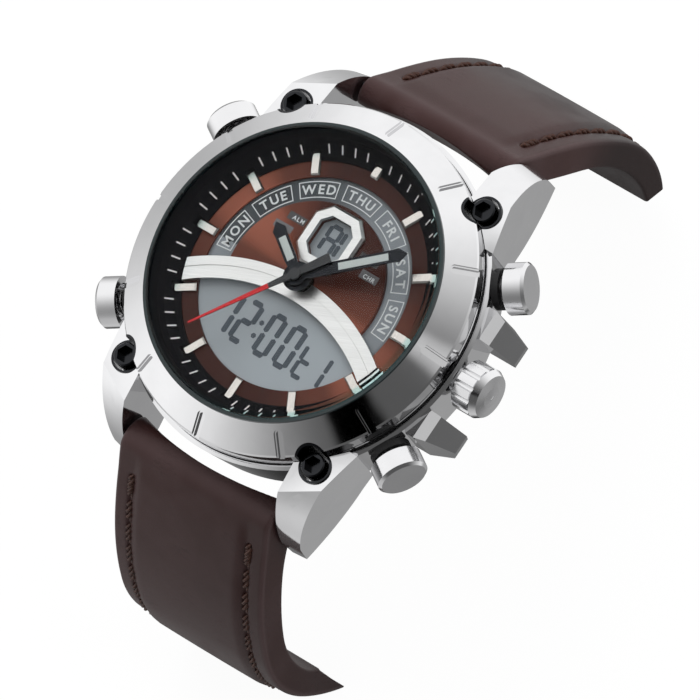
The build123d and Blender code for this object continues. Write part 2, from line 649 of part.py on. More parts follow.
STEP_AT = (STEP_MODULE * (SECOND_WHEEL_TEETH + STEP_PINION_TEETH) / 2 + MESH_PLAY, -40.0)
THIRD_AT = (FINE_MODULE * (THIRD_WHEEL_TEETH + SECOND_PINION_TEETH) / 2 + MESH_PLAY, 200.0)
ROTOR_FROM_STEP = (FINE_MODULE * (STEP_WHEEL_TEETH + ROTOR_PINION_TEETH) / 2 + MESH_PLAY, -75.0)
MINUTE_AT = (MOTION_MODULE * (MINUTE_WHEEL_TEETH + CANNON_PINION_TEETH) / 2 + MESH_PLAY, 75.0)
CENTRE_MODULE = FINE_MODULE * (THIRD_WHEEL_TEETH + SECOND_PINION_TEETH) / (CENTRE_WHEEL_TEETH + THIRD_PINION_TEETH)
LEVEL_GAP = 0.15
LEVEL_A = BRIDGE_Z1 + LEVEL_GAP
LEVEL_B = LEVEL_A + WHEEL_T + LEVEL_GAP
LEVEL_C = LEVEL_B + WHEEL_T + 2 * LEVEL_GAP
LEVEL_M = PLATE_Z1 + AIR
LEVEL_N = LEVEL_M + WHEEL_T + AIR


def gear(teeth, module, low, high, phase=0.0):
    """Straight-toothed wheel or pinion about Z; phase is the angle of one tooth's middle line."""
    pitch_r = module * teeth / 2
    step = 360 / teeth
    root_w, pitch_w, tip_w = [share * step / 2 for share in TOOTH_SHARES]
    spots = []
    for tooth in range(teeth):
        middle = phase + tooth * step
        corners = [
            (pitch_r - TOOTH_ROOT * module, -root_w), (pitch_r, -pitch_w), (pitch_r + TOOTH_TIP * module, -tip_w),
            (pitch_r + TOOTH_TIP * module, tip_w), (pitch_r, pitch_w), (pitch_r - TOOTH_ROOT * module, root_w),
        ]
        spots += [polar(radius, middle + turn) for radius, turn in corners]
    return Pos(0, 0, low) * extrude(make_face(Polyline(*spots, close=True)), high - low)


def spot(place):
    """Position of an axis given as a distance and an angle from the middle of the watch."""
    x, y = polar(*place)
    return Pos(x, y, 0)


def mesh_phase(angle, driver_phase, driver, driven):
    """Phase of a driven wheel that puts a gap opposite the driver's teeth on the line between them."""
    offset = (angle - driver_phase) / (360 / driver)
    return angle + HALF_TURN + (offset + 0.5) * 360 / driven


def arbor(low, high):
    """Shaft with a thin pivot at each end, held in the bridge and the main plate."""
    shaft = disc(ARBOR_R, low + BRIDGE_T + AIR, high - PLATE_T - AIR)
    return shaft + disc(PIVOT_R, low + AIR, high - AIR)


SECOND_PHASE = 0.0
STEP_PHASE = mesh_phase(STEP_AT[1], SECOND_PHASE, SECOND_WHEEL_TEETH, STEP_PINION_TEETH)
ROTOR_PHASE = mesh_phase(ROTOR_FROM_STEP[1], STEP_PHASE, STEP_WHEEL_TEETH, ROTOR_PINION_TEETH)
THIRD_PHASE = mesh_phase(THIRD_AT[1], SECOND_PHASE, SECOND_PINION_TEETH, THIRD_WHEEL_TEETH)
CENTRE_PHASE = mesh_phase(THIRD_AT[1] + HALF_TURN, THIRD_PHASE, THIRD_PINION_TEETH, CENTRE_WHEEL_TEETH)
MINUTE_PHASE = mesh_phase(MINUTE_AT[1], 0, CANNON_PINION_TEETH, MINUTE_WHEEL_TEETH)
HOUR_PHASE = mesh_phase(MINUTE_AT[1] + HALF_TURN, MINUTE_PHASE, MINUTE_PINION_TEETH, HOUR_WHEEL_TEETH)


def seconds_wheel():
    body = gear(SECOND_WHEEL_TEETH, STEP_MODULE, LEVEL_A, LEVEL_A + WHEEL_T, SECOND_PHASE)
    body = body + gear(SECOND_PINION_TEETH, FINE_MODULE, LEVEL_A + WHEEL_T, LEVEL_B + WHEEL_T, SECOND_PHASE)
    body = body + disc(PIVOT_R, BOARD_Z1 + AIR, LEVEL_A) + disc(ARBOR_R, BRIDGE_Z1 + AIR, LEVEL_A)
    return body + disc(SECOND_ARBOR_R, LEVEL_B, DIAL_Z + SECOND_HAND_RISE + SECOND_SEAT_T)


def step_wheel():
    body = arbor(BOARD_Z1, PLATE_Z1)
    body = body + gear(STEP_PINION_TEETH, STEP_MODULE, LEVEL_A, LEVEL_B, STEP_PHASE)
    body = body + gear(STEP_WHEEL_TEETH, FINE_MODULE, LEVEL_B, LEVEL_B + WHEEL_T, STEP_PHASE)
    return spot(STEP_AT) * body


def third_wheel():
    body = arbor(BOARD_Z1, PLATE_Z1)
    body = body + gear(THIRD_WHEEL_TEETH, FINE_MODULE, LEVEL_B, LEVEL_B + WHEEL_T, THIRD_PHASE)
    body = body + gear(THIRD_PINION_TEETH, CENTRE_MODULE, LEVEL_B + WHEEL_T, LEVEL_C + WHEEL_T, THIRD_PHASE)
    return spot(THIRD_AT) * body


ROTOR_R = 1.3
ROTOR_T = 0.7
STATOR_BORE_R = 1.5
STATOR_W = 3.8
STATOR_T = 0.4
COIL_L = 7.0
COIL_R = 0.95
COIL_CORE = 0.35
COIL_DROP = 3.3         # from the rotor's axis to the coil's axis


def rotor_spot():
    x, y = polar(*STEP_AT)
    dx, dy = polar(*ROTOR_FROM_STEP)
    return x + dx, y + dy


def rotor():
    x, y = rotor_spot()
    body = arbor(BOARD_Z1, PLATE_Z1) + gear(ROTOR_PINION_TEETH, FINE_MODULE, LEVEL_B, LEVEL_B + WHEEL_T, ROTOR_PHASE)
    body = body + disc(ROTOR_R, LEVEL_C, LEVEL_C + ROTOR_T)
    return Pos(x, y, 0) * body


def stator():
    """Flat plate round the rotor whose two arms reach the ends of the coil's core."""
    x, y = rotor_spot()
    low = LEVEL_C + (ROTOR_T - STATOR_T) / 2
    half = COIL_L / 2 + STATOR_W / 4
    body = block(-half, half, -STATOR_W / 2, STATOR_W / 2, 0, STATOR_T)
    for side in (-1, 1):
        arm_x = side * (half - STATOR_W / 4)
        body = body + block(arm_x - STATOR_W / 4, arm_x + STATOR_W / 4, -COIL_DROP - COIL_CORE, 0, 0, STATOR_T)
    return Pos(x, y, low) * (body - disc(STATOR_BORE_R, 0, STATOR_T))


def coil():
    x, y = rotor_spot()
    centre_z = LEVEL_C + ROTOR_T / 2 - STATOR_T / 2 - COIL_CORE
    winding = Rot(0, 90, 0) * Cylinder(COIL_R, COIL_L - STATOR_W / 2 - AIR)
    return Pos(x, y - COIL_DROP, centre_z) * winding


HUB_WALL = 0.45
HUB_RISE = 0.3
CANNON_FOOT = 0.12


def centre_wheel():
    """Wheel that grips the cannon pinion with a light slip, so that the hands can be set."""
    hub = ring(CANNON_R + HUB_WALL, CANNON_R + RUNNING / 2, LEVEL_C, LEVEL_C + WHEEL_T + HUB_RISE)
    wheel = gear(CENTRE_WHEEL_TEETH, CENTRE_MODULE, LEVEL_C, LEVEL_C + WHEEL_T, CENTRE_PHASE)
    return wheel - disc(CANNON_R + HUB_WALL / 2, 0, DIAL_Z) + hub


def cannon_pinion():
    """Tube that carries the minute hand, with its pinion in the motion work."""
    foot = LEVEL_C - CANNON_FOOT
    tube = disc(CANNON_R, foot, DIAL_Z + MINUTE_HAND_RISE + HAND_T) + disc(CANNON_R + HUB_WALL / 2, foot, LEVEL_C)
    body = tube + gear(CANNON_PINION_TEETH, MOTION_MODULE, LEVEL_M, LEVEL_M + WHEEL_T)
    return body - disc(CANNON_BORE_R, 0, DIAL_Z + CUT)


def minute_wheel():
    body = gear(MINUTE_WHEEL_TEETH, MOTION_MODULE, LEVEL_M, LEVEL_M + WHEEL_T, MINUTE_PHASE)
    body = body + gear(MINUTE_PINION_TEETH, MOTION_MODULE, LEVEL_M + WHEEL_T, LCD_Z0 - AIR, MINUTE_PHASE)
    body = body - disc(PIVOT_R + RUNNING, 0, DIAL_Z)
    return spot(MINUTE_AT) * body


def hour_wheel():
    body = gear(HOUR_WHEEL_TEETH, MOTION_MODULE, LEVEL_N, LCD_Z0 - AIR, HOUR_PHASE)
    body = body + disc(HOUR_PIPE_R, LEVEL_N, DIAL_Z + HOUR_HAND_RISE + HAND_T)
    return body - disc(HOUR_PIPE_BORE_R, 0, DIAL_Z + CUT)


# Plates and fixed parts of the movement
STRIP_L = 10.0          # rubber connectors between the board and the display
STRIP_W = 1.2
STRIP_Y = 12.2
STRIP_PLAY = 0.1
PLATE_RIM_R = 13.4
BRIDGE_W = 3.0


def strips(grow=0.0):
    half = STRIP_L / 2 + grow
    wide = STRIP_W / 2 + grow
    return [block(-half, half, side * STRIP_Y - wide, side * STRIP_Y + wide, BOARD_Z1, LCD_Z0) for side in (-1, 1)]


def main_plate():
    """Plate that carries the wheels, with a rim under the display and a post for the minute wheel."""
    body = disc(BOARD_R, PLATE_Z0, PLATE_Z1) + ring(BOARD_R, PLATE_RIM_R, PLATE_Z1, LCD_Z0)
    for gap in strips(STRIP_PLAY):
        body = body - gap
    body = body - disc(CANNON_R + RUNNING, 0, DIAL_Z)
    for place in (STEP_AT, THIRD_AT):
        x, y = polar(*place)
        body = body - disc(PIVOT_R + RUNNING, 0, PLATE_Z1, x, y)
    body = body - disc(PIVOT_R + RUNNING, 0, PLATE_Z1, *rotor_spot())
    x, y = polar(*MINUTE_AT)
    return body + disc(PIVOT_R, PLATE_Z1, LCD_Z0 - AIR, x, y)


def train_bridge():
    """Cross-shaped plate on the board with the lower pivot holes."""
    body = disc(BRIDGE_W / 2, BOARD_Z1, BRIDGE_Z1)
    places = [polar(*STEP_AT), polar(*THIRD_AT), rotor_spot()]
    middle = (0, 0)
    for number, (x, y) in enumerate(places):
        from_x, from_y = places[0] if number == 2 else middle
        reach = math.hypot(x - from_x, y - from_y)
        turn = math.degrees(math.atan2(y - from_y, x - from_x))
        arm = Pos(reach / 2, 0, BRIDGE_T / 2) * Box(reach, BRIDGE_W, BRIDGE_T)
        body = body + Pos(from_x, from_y, BOARD_Z1) * Rot(0, 0, turn) * arm
        body = body + disc(BRIDGE_W / 2, BOARD_Z1, BRIDGE_Z1, x, y)
    for x, y in places + [middle]:
        body = body - disc(PIVOT_R + RUNNING, 0, BRIDGE_Z1, x, y)
    return body


CHIP_W = 3.4
CHIP_T = 0.7
CHIP_X = -5.0
CHIP_Y = 8.6
QUARTZ_R = 0.6
QUARTZ_L = 4.0
QUARTZ_X = 3.0
QUARTZ_Y = 9.3


def chip():
    return block(CHIP_X - CHIP_W / 2, CHIP_X + CHIP_W / 2, CHIP_Y - CHIP_W / 2, CHIP_Y + CHIP_W / 2, BOARD_Z1, BOARD_Z1 + CHIP_T)


def quartz():
    can = Rot(0, 90, 0) * Cylinder(QUARTZ_R, QUARTZ_L)
    return Pos(QUARTZ_X, QUARTZ_Y, BOARD_Z1 + QUARTZ_R) * can


def circuit_board():
    return disc(BOARD_R, BOARD_Z0, BOARD_Z1)


def movement_holder():
    """Plastic ring round the movement, with a ledge for the board and one for the main plate."""
    body = ring(HOLDER_R, HOLDER_IN_R, BACK_IN_Z, LCD_Z1)
    for ledge_top in (BOARD_Z0, PLATE_Z0):
        body = body + ring(HOLDER_IN_R + AIR, HOLDER_IN_R - HOLDER_LEDGE, ledge_top - HOLDER_LEDGE_T, ledge_top)
    for angle in list(PUSH_ANGLES.values()) + [0]:
        body = body - rod(angle, STEM_Z, PUSH_STEM_R + MODULE_PLAY, HOLDER_IN_R - HOLDER_LEDGE - AIR, CAVITY_R)
    return body


BATTERY_EDGE = 0.15
CLIP_W = 4.0
CLIP_TAB_W = 0.3
CLIP_TAB_R = BATTERY_R + 0.3


def battery():
    body = disc(BATTERY_R, BATTERY_Z0, BATTERY_Z1)
    return chamfer(body.edges().group_by(Axis.Z)[0], BATTERY_EDGE)


def battery_clip():
    """Spring strap across the battery, with a leg up to the board at each end."""
    half = CLIP_TAB_R + CLIP_TAB_W
    body = block(-half, half, -CLIP_W / 2, CLIP_W / 2, CLIP_Z0, CLIP_Z0 + CLIP_T)
    for side in (-1, 1):
        low, high = sorted((side * CLIP_TAB_R, side * half))
        body = body + block(low, high, -CLIP_W / 2, CLIP_W / 2, CLIP_Z0, BOARD_Z0)
    return body


BUZZER_R = 8.5
BUZZER_CONTACT_R = 0.5
BUZZER_CONTACT_Y = -12.6
BACK_RIM = 0.25


def buzzer():
    return disc(BUZZER_R, BACK_IN_Z, BUZZER_Z1)


def case_back():
    body = disc(BACK_R, 0, BACK_T) + disc(BACK_SPIGOT_R, BACK_T, BACK_IN_Z)
    body = chamfer(body.edges().group_by(Axis.Z)[0], BACK_RIM)
    for angle in BACK_SCREW_ANGLES:
        x, y = polar(BACK_SCREW_R, angle)
        body = body - disc(BACK_SCREW_HEAD_R + SCREW_FIT, 0, BACK_SCREW_HEAD_H, x, y)
        body = body - disc(BACK_SCREW_SHANK_R + SCREW_FIT, 0, BACK_T, x, y)
    return body


def case_back_seal():
    half = BACK_SEAL_W / 2
    return ring(BACK_SEAL_R + half, BACK_SEAL_R - half, BACK_T, BACK_T + BACK_SEAL_T)


def case_back_screws():
    screws = []
    for angle in BACK_SCREW_ANGLES:
        x, y = polar(BACK_SCREW_R, angle)
        head = disc(BACK_SCREW_HEAD_R, AIR, BACK_SCREW_HEAD_H, x, y)
        shank = disc(BACK_SCREW_SHANK_R, BACK_SCREW_HEAD_H, BACK_T + BACK_SCREW_L, x, y)
        slot = Pos(x, y, AIR) * Rot(0, 0, angle) * Box(CUT / 10, BACK_SEAL_W / 3, BACK_SCREW_HEAD_H / 2)
        screws.append(head + shank - slot)
    return screws


def screw_bush():
    """Black lining of a pocket, flush with the bezel's slope on the inside."""
    body = ring(SCREW_POCKET_R - SCREW_FIT, SCREW_POCKET_R - BUSH_WALL, SCREW_HEAD_Z, BEZEL_Z2)
    body = Pos(SCREW_X, SCREW_Y, 0) * body
    above = turned([(BEZEL_INNER_R, BEZEL_Z2), (BEZEL_R, BEZEL_Z1), (BEZEL_R, BEZEL_Z2)])
    outside = ring(BEZEL_R + CUT, BEZEL_R, DIAL_Z - BUSH_DROP, BEZEL_Z2)
    return body - above - outside


def lug_screws():
    """Round cap screws with a hexagonal socket, each in its bush."""
    head = disc(SCREW_HEAD_R, SCREW_HEAD_Z, SCREW_HEAD_Z + SCREW_HEAD_H)
    head = chamfer(head.edges().group_by(Axis.Z)[-1], SCREW_EDGE)
    body = head + disc(SCREW_SHANK_R, SCREW_HEAD_Z - SCREW_SHANK_L, SCREW_HEAD_Z)
    socket = extrude(RegularPolygon(SCREW_SOCKET_R, 6), SCREW_SOCKET_H)
    body = body - Pos(0, 0, SCREW_HEAD_Z + SCREW_HEAD_H - SCREW_SOCKET_H) * socket
    return four(Pos(SCREW_X, SCREW_Y, 0) * body) + four(screw_bush())


# Crown on the winding stem
STEM_R = 0.55
STEM_IN_X = 7.0
STEM_GROOVE_X = 9.0
STEM_GROOVE_W = 0.5
STEM_GROOVE_R = 0.32
CROWN_SEAL_IN = 0.7
CROWN_SEAL_X = CROWN_X0 + CROWN_SEAL_IN
CROWN_SEAL_W = 0.5
SLIDE_L = 3.2
SLIDE_W = 2.4
SLIDE_T = 0.35
SLIDE_TAB_W = 1.0


def crown():
    """Fluted cap with a sloping rim and a low dome, bored for its tube."""
    neck_r = CROWN_R - CROWN_NECK_T
    half = [
        (0, CROWN_X0), (CROWN_R - CROWN_EDGE, CROWN_X0), (CROWN_R, CROWN_X0 + CROWN_EDGE),
        (CROWN_R, CROWN_RIM_X - CROWN_NECK_L), (neck_r, CROWN_RIM_X - CROWN_NECK_L), (neck_r, CROWN_RIM_X),
        (CROWN_R, CROWN_RIM_X), (CROWN_FACE_R, CROWN_X1), (CROWN_FACE_R / 2, CROWN_X1 + CROWN_DOME), (0, CROWN_X1 + CROWN_DOME * 4 / 3),
    ]
    body = turned(half)
    for number in range(CROWN_FLUTES):
        x, y = polar(CROWN_R + CROWN_FLUTE_R - CROWN_FLUTE_H, (number + CROWN_FLUTE_SHIFT) * 360 / CROWN_FLUTES)
        body = body - disc(CROWN_FLUTE_R, CROWN_X0 - AIR, CROWN_RIM_X - CROWN_NECK_L / 2, x, y)
    body = body - disc(CROWN_BORE_R, CROWN_X0, CROWN_X0 + CROWN_BORE_L)
    return outward(0, STEM_Z) * body


def crown_seal():
    outer = rod(0, STEM_Z, CROWN_BORE_R, CROWN_SEAL_X, CROWN_SEAL_X + CROWN_SEAL_W)
    return outer - rod(0, STEM_Z, TUBE_R + RUNNING / 2, CROWN_SEAL_X, CROWN_SEAL_X + CROWN_SEAL_W)


def winding_stem():
    body = rod(0, STEM_Z, STEM_R, STEM_IN_X, CROWN_X0 + CROWN_BORE_L)
    groove = rod(0, STEM_Z, STEM_R + AIR, STEM_GROOVE_X, STEM_GROOVE_X + STEM_GROOVE_W)
    return body - (groove - rod(0, STEM_Z, STEM_GROOVE_R, STEM_GROOVE_X, STEM_GROOVE_X + STEM_GROOVE_W))


def setting_slide():
    """Plate under the main plate, whose tab rides in the stem's groove and moves with it."""
    top = PLATE_Z0 - AIR
    body = block(STEM_GROOVE_X - SLIDE_L / 4, STEM_GROOVE_X + SLIDE_L * 3 / 4, -SLIDE_W / 2, SLIDE_W / 2, top - SLIDE_T, top)
    tab = block(
        STEM_GROOVE_X + AIR, STEM_GROOVE_X + STEM_GROOVE_W - AIR, -SLIDE_TAB_W / 2, SLIDE_TAB_W / 2,
        STEM_Z + STEM_GROOVE_R + RUNNING, top - SLIDE_T)
    return body + tab


def crown_tube():
    return rod(0, STEM_Z, TUBE_R, TUBE_IN_X, TUBE_OUT_X) - rod(0, STEM_Z, TUBE_BORE_R, TUBE_IN_X, TUBE_OUT_X)


def pusher_tubes():
    tubes = []
    for angle in PUSH_ANGLES.values():
        outer = rod(angle, STEM_Z, PUSH_TUBE_R, PUSH_TUBE_IN, PUSH_TUBE_OUT)
        tubes.append(outer - rod(angle, STEM_Z, PUSH_STEM_R + RUNNING, PUSH_TUBE_IN, PUSH_TUBE_OUT))
    return tubes


def pusher_seals():
    """Black washers round the tubes, on the spot faces of the case."""
    seals = []
    for angle in PUSH_ANGLES.values():
        outer = rod(angle, STEM_Z, PUSH_SEAL_R, PUSH_FLAT_AT, PUSH_TUBE_OUT - AIR)
        seals.append(outer - rod(angle, STEM_Z, PUSH_TUBE_R, PUSH_FLAT_AT, PUSH_TUBE_OUT - AIR))
    return seals


def pusher(angle):
    """Round cap with a bevelled rim and a well for the spring, and its stem with a clip groove."""
    start = PUSH_OUT - PUSH_CAP_L
    cap = Cylinder(PUSH_R, PUSH_CAP_L, align=(Align.CENTER, Align.CENTER, Align.MIN))
    cap = chamfer(cap.edges().group_by(Axis.Z)[-1], PUSH_EDGE)
    cap = outward(angle, STEM_Z) * Pos(0, 0, start) * cap
    cap = cap - rod(angle, STEM_Z, PUSH_WELL_R, start, start + PUSH_WELL_L)
    return cap + rod(angle, STEM_Z, PUSH_STEM_R, PUSH_STEM_IN, start + PUSH_WELL_L + AIR)


SPRING_WIRE_R = 0.13
SPRING_R = 1.45
SPRING_TURNS = 3


def pusher_spring(angle):
    """Open coil between the end of the tube and the floor of the cap's well."""
    start = PUSH_TUBE_OUT + SPRING_WIRE_R
    free = PUSH_OUT - PUSH_CAP_L + PUSH_WELL_L - PUSH_TUBE_OUT - 2 * SPRING_WIRE_R
    path = Helix(free / SPRING_TURNS, free, SPRING_R)
    section = Plane(origin=path @ 0, z_dir=path % 0) * Rectangle(2 * SPRING_WIRE_R, 2 * SPRING_WIRE_R)
    coil_body = sweep(section, path=path, is_frenet=True)
    return outward(angle, STEM_Z) * Pos(0, 0, start) * coil_body


PUSH_CLIP_T = 0.25


def pusher_clip(angle):
    """Retaining clip on the stem's inner end."""
    outer = rod(angle, STEM_Z, PUSH_TUBE_R - AIR, PUSH_TUBE_IN - PUSH_CLIP_T - AIR, PUSH_TUBE_IN - AIR)
    return outer - rod(angle, STEM_Z, PUSH_STEM_R, PUSH_TUBE_IN - PUSH_CLIP_T - AIR, PUSH_TUBE_IN - AIR)


CONTACT_T = 0.15
CONTACT_W = 2.0


def pusher_contacts():
    """Four leaf contacts on the edge of the board, each facing a stem."""
    leaves = []
    for angle in PUSH_ANGLES.values():
        outer = PUSH_STEM_IN - PUSH_TRAVEL - AIR
        leaf = block(outer - CONTACT_T - MODULE_PLAY, outer - MODULE_PLAY, -CONTACT_W / 2, CONTACT_W / 2, BOARD_Z1, STEM_Z + PUSH_STEM_R)
        leaves.append(Rot(0, 0, angle) * leaf)
    return leaves


# Strap halves: each outline runs from the nose as arcs that flow into each other, as radius and turn pairs
STRAP_UPPER_NOSE = (BAR_Y - 2.3, 2.2)
STRAP_UPPER_OUTER = ((2.03, -141.1), (96.0, -6.4), (52.6, -13.3), (20.5, -32.9), (13.9, -12.7))
STRAP_UPPER_INNER = ((2.37, 31.9), (265.0, 3.0), (26.7, -17.9), (18.5, -34.1))
STRAP_LOWER_NOSE = (BAR_Y - 2.8, 2.3)
STRAP_LOWER_OUTER = ((2.8, -136.0), (67.0, -8.5), (42.0, -16.3), (17.9, -42.2), (31.1, -14.5))
STRAP_LOWER_INNER = ((2.84, 59.2), (20.8, -20.9), (41.2, -13.9), (15.7, -34.8), (7.5, -23.5))
STRAP_END_R = 44.0      # hollow of the end that faces the case
STRAP_END_Y = BAR_Y - 1.2  # depth of that hollow on the middle line


def flowing_arcs(start, heading, bends):
    """Chain of tangent arcs in the middle plane of the watch; a positive turn is to the left."""
    y, z = start
    edges = []
    for radius, turn in bends:
        side = math.copysign(radius, turn)
        spots = []
        for share in (0, 0.5, 1):
            now = math.radians(heading + turn * share)
            first = math.radians(heading)
            spots.append((0, y + side * (math.sin(now) - math.sin(first)), z - side * (math.cos(now) - math.cos(first))))
        edges.append(ThreePointArc(*spots))
        y, z = spots[-1][1:]
        heading += turn
    return edges


def strap(nose, outer, inner):
    """Upper half as drawn at 12 o'clock; the lower one is turned round."""
    front = flowing_arcs(nose, 90, outer)
    back = flowing_arcs(nose, -90, inner)
    face = make_face(front + back + [Line(front[-1] @ 1, back[-1] @ 1)])
    body = extrude(face, STRAP_W / 2, dir=(1, 0, 0), both=True)
    body = body - disc(STRAP_END_R, -CUT, CUT, 0, STRAP_END_Y - STRAP_END_R)
    bore = Rot(0, 90, 0) * Cylinder(BAR_R + RUNNING, STRAP_W)
    return body - Pos(0, BAR_Y, BAR_Z) * bore


def strap_upper():
    return strap(STRAP_UPPER_NOSE, STRAP_UPPER_OUTER, STRAP_UPPER_INNER)


def strap_lower():
    return Rot(0, 0, 180) * strap(STRAP_LOWER_NOSE, STRAP_LOWER_OUTER, STRAP_LOWER_INNER)


def bar_tube(side):
    """Spring bar tube, crimped at both ends round the tips."""
    half = BAR_TUBE_L / 2
    body = Cylinder(BAR_R, BAR_TUBE_L) - Cylinder(BAR_BORE_R, BAR_TUBE_L - 2 * BAR_LIP) - Cylinder(TIP_R + RUNNING, BAR_TUBE_L)
    return Pos(0, side * BAR_Y, BAR_Z) * Rot(0, 90, 0) * body


def bar_tip(side, end):
    """Tip that slides in the tube against the bar's inner spring."""
    reach = LUG_IN_X + TIP_IN_LUG
    collar_end = BAR_TUBE_L / 2 - BAR_LIP
    pin = Cylinder(TIP_R, reach - collar_end + TIP_COLLAR_L, align=(Align.CENTER, Align.CENTER, Align.MIN))
    collar = Cylinder(TIP_COLLAR_R, TIP_COLLAR_L, align=(Align.CENTER, Align.CENTER, Align.MIN))
    body = Pos(0, 0, collar_end - TIP_COLLAR_L) * (pin + collar)
    body = Pos(0, side * BAR_Y, BAR_Z) * Rot(0, 90, 0) * body
    return body if end > 0 else body.mirror(Plane.YZ)


def build():
    save("mid_case", mid_case())
    save("bezel", bezel())
    save("bezel_seal", bezel_seal())
    save("minute_ring", minute_ring())
    save("crystal", crystal())
    save("crystal_seal", crystal_seal())
    save("dial", dial())
    save("inner_dial", inner_dial())
    save("arch_trim", arch())
    save("octagon_frame", octagon_frame())
    save("lcd_panel", lcd_panel())
    save("hour_markers", *hour_markers())
    save("hour_hand", hand(HOUR_LEN, HAND_HUB_R + HAND_NECK_W, HOUR_PIPE_R, DIAL_Z + HOUR_HAND_RISE, HOUR_ANGLE, HOUR_LUME_SHARES))
    save("minute_hand", hand(MINUTE_LEN, HAND_HUB_R, CANNON_R, DIAL_Z + MINUTE_HAND_RISE, MINUTE_ANGLE, MINUTE_LUME_SHARES))
    save("second_hand", second_hand())
    save("seconds_wheel", seconds_wheel())
    save("step_wheel", step_wheel())
    save("third_wheel", third_wheel())
    save("centre_wheel", centre_wheel())
    save("cannon_pinion", cannon_pinion())
    save("minute_wheel", minute_wheel())
    save("hour_wheel", hour_wheel())
    save("rotor", rotor())
    save("stator", stator())
    save("coil", coil())
    save("main_plate", main_plate())
    save("train_bridge", train_bridge())
    save("circuit_board", circuit_board())
    save("driver_chip", chip())
    save("quartz_can", quartz())
    save("connector_strips", *strips())
    save("pusher_contacts", *pusher_contacts())
    save("movement_holder", movement_holder())
    save("battery", battery())
    save("battery_clip", battery_clip())
    save("buzzer", buzzer())
    save("case_back", case_back())
    save("case_back_seal", case_back_seal())
    save("case_back_screws", *case_back_screws())
    save("lug_screws", *lug_screws())
    save("crown", crown())
    save("crown_seal", crown_seal())
    save("winding_stem", winding_stem())
    save("setting_slide", setting_slide())
    save("crown_tube", crown_tube())
    save("pusher_tubes", *pusher_tubes())
    save("pusher_seals", *pusher_seals())
    save("pusher_springs", *[pusher_spring(angle) for angle in PUSH_ANGLES.values()])
    for name, angle in PUSH_ANGLES.items():
        save(f"pusher_{name}", pusher(angle), pusher_clip(angle))
    save("strap_upper", strap_upper())
    save("strap_lower", strap_lower())
    for name, side in (("upper", 1), ("lower", -1)):
        save(f"spring_bar_{name}", bar_tube(side))
        for end_name, end in (("right", 1), ("left", -1)):
            save(f"bar_tip_{name}_{end_name}", bar_tip(side, end))


build()
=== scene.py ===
"""Wristwatch with hands and a display: leather straps, dial printing, finishes and a white studio."""

import math

import bmesh
import bpy
from mathutils import Matrix, Vector


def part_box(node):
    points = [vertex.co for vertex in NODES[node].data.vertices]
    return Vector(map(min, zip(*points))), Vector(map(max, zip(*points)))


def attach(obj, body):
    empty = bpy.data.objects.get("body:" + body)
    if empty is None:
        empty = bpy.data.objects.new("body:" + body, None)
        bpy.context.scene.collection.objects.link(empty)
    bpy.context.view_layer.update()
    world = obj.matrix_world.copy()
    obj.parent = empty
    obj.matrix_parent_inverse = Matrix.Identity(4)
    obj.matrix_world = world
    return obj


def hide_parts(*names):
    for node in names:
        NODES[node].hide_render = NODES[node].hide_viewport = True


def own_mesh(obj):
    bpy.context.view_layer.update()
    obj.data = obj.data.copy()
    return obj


bl_info = {
    "name": "Wristwatch with hands and display",
    "version": (1, 0, 0),
    "blender": (4, 5, 0),
    "location": "3D View > Sidebar > Watch",
    "description": "Leather straps, stitching, dial printing, finishes and studio for the watch frame",
    "category": "Object",
}

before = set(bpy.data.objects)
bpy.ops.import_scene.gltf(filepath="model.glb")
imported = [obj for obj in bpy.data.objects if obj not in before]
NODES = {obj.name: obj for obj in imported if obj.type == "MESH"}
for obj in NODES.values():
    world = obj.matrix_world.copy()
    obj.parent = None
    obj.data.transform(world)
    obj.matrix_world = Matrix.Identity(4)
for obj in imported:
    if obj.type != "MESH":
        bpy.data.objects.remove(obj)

MM = 0.001
WHITE = (1.0, 1.0, 1.0, 1.0)

# Tops of the nodes that carry printing and paint.
DISPLAY_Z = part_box("lcd_panel")[1].z
INNER_DIAL_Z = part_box("inner_dial")[1].z
HOUR_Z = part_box("hour_hand")[1].z
MINUTE_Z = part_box("minute_hand")[1].z

# The strap's side view, in millimetres and degrees, as in the part's source: its nose, then radius
# and turn of each bend of the outer and the inner side line. With them go the run at which the
# stitches start, and the painted shade where the leather turns away from the light: runs where it
# starts and is full, its depth there, and a depth along the whole middle, which is nothing at the
# left side and twice as much at the right.
STRAP_SIDES = {
    "upper": {
        "turned": False,
        "nose": (23.1, 2.2),
        "outer": ((2.03, -141.1), (96.0, -6.4), (52.6, -13.3), (20.5, -32.9), (13.9, -12.7)),
        "inner": ((2.37, 31.9), (265.0, 3.0), (26.7, -17.9), (18.5, -34.1)),
        "seam_start": 8.6,
        "painted_shade": (15.0, 28.0, 0.72, 0.0),
    },
    "lower": {
        "turned": True,
        "nose": (22.6, 2.3),
        "outer": ((2.8, -136.0), (67.0, -8.5), (42.0, -16.3), (17.9, -42.2), (31.1, -14.5)),
        "inner": ((2.84, 59.2), (20.8, -20.9), (41.2, -13.9), (15.7, -34.8), (7.5, -23.5)),
        "seam_start": 10.0,
        "painted_shade": (30.0, 60.0, 0.30, 0.15),
    },
}
ARC_STEP = 0.35         # distance between points on the side lines

# The hollow at the strap's nose that faces the case: its radius and how far out it reaches.
STRAP_END_R = 44.0
STRAP_END_Y = 24.2

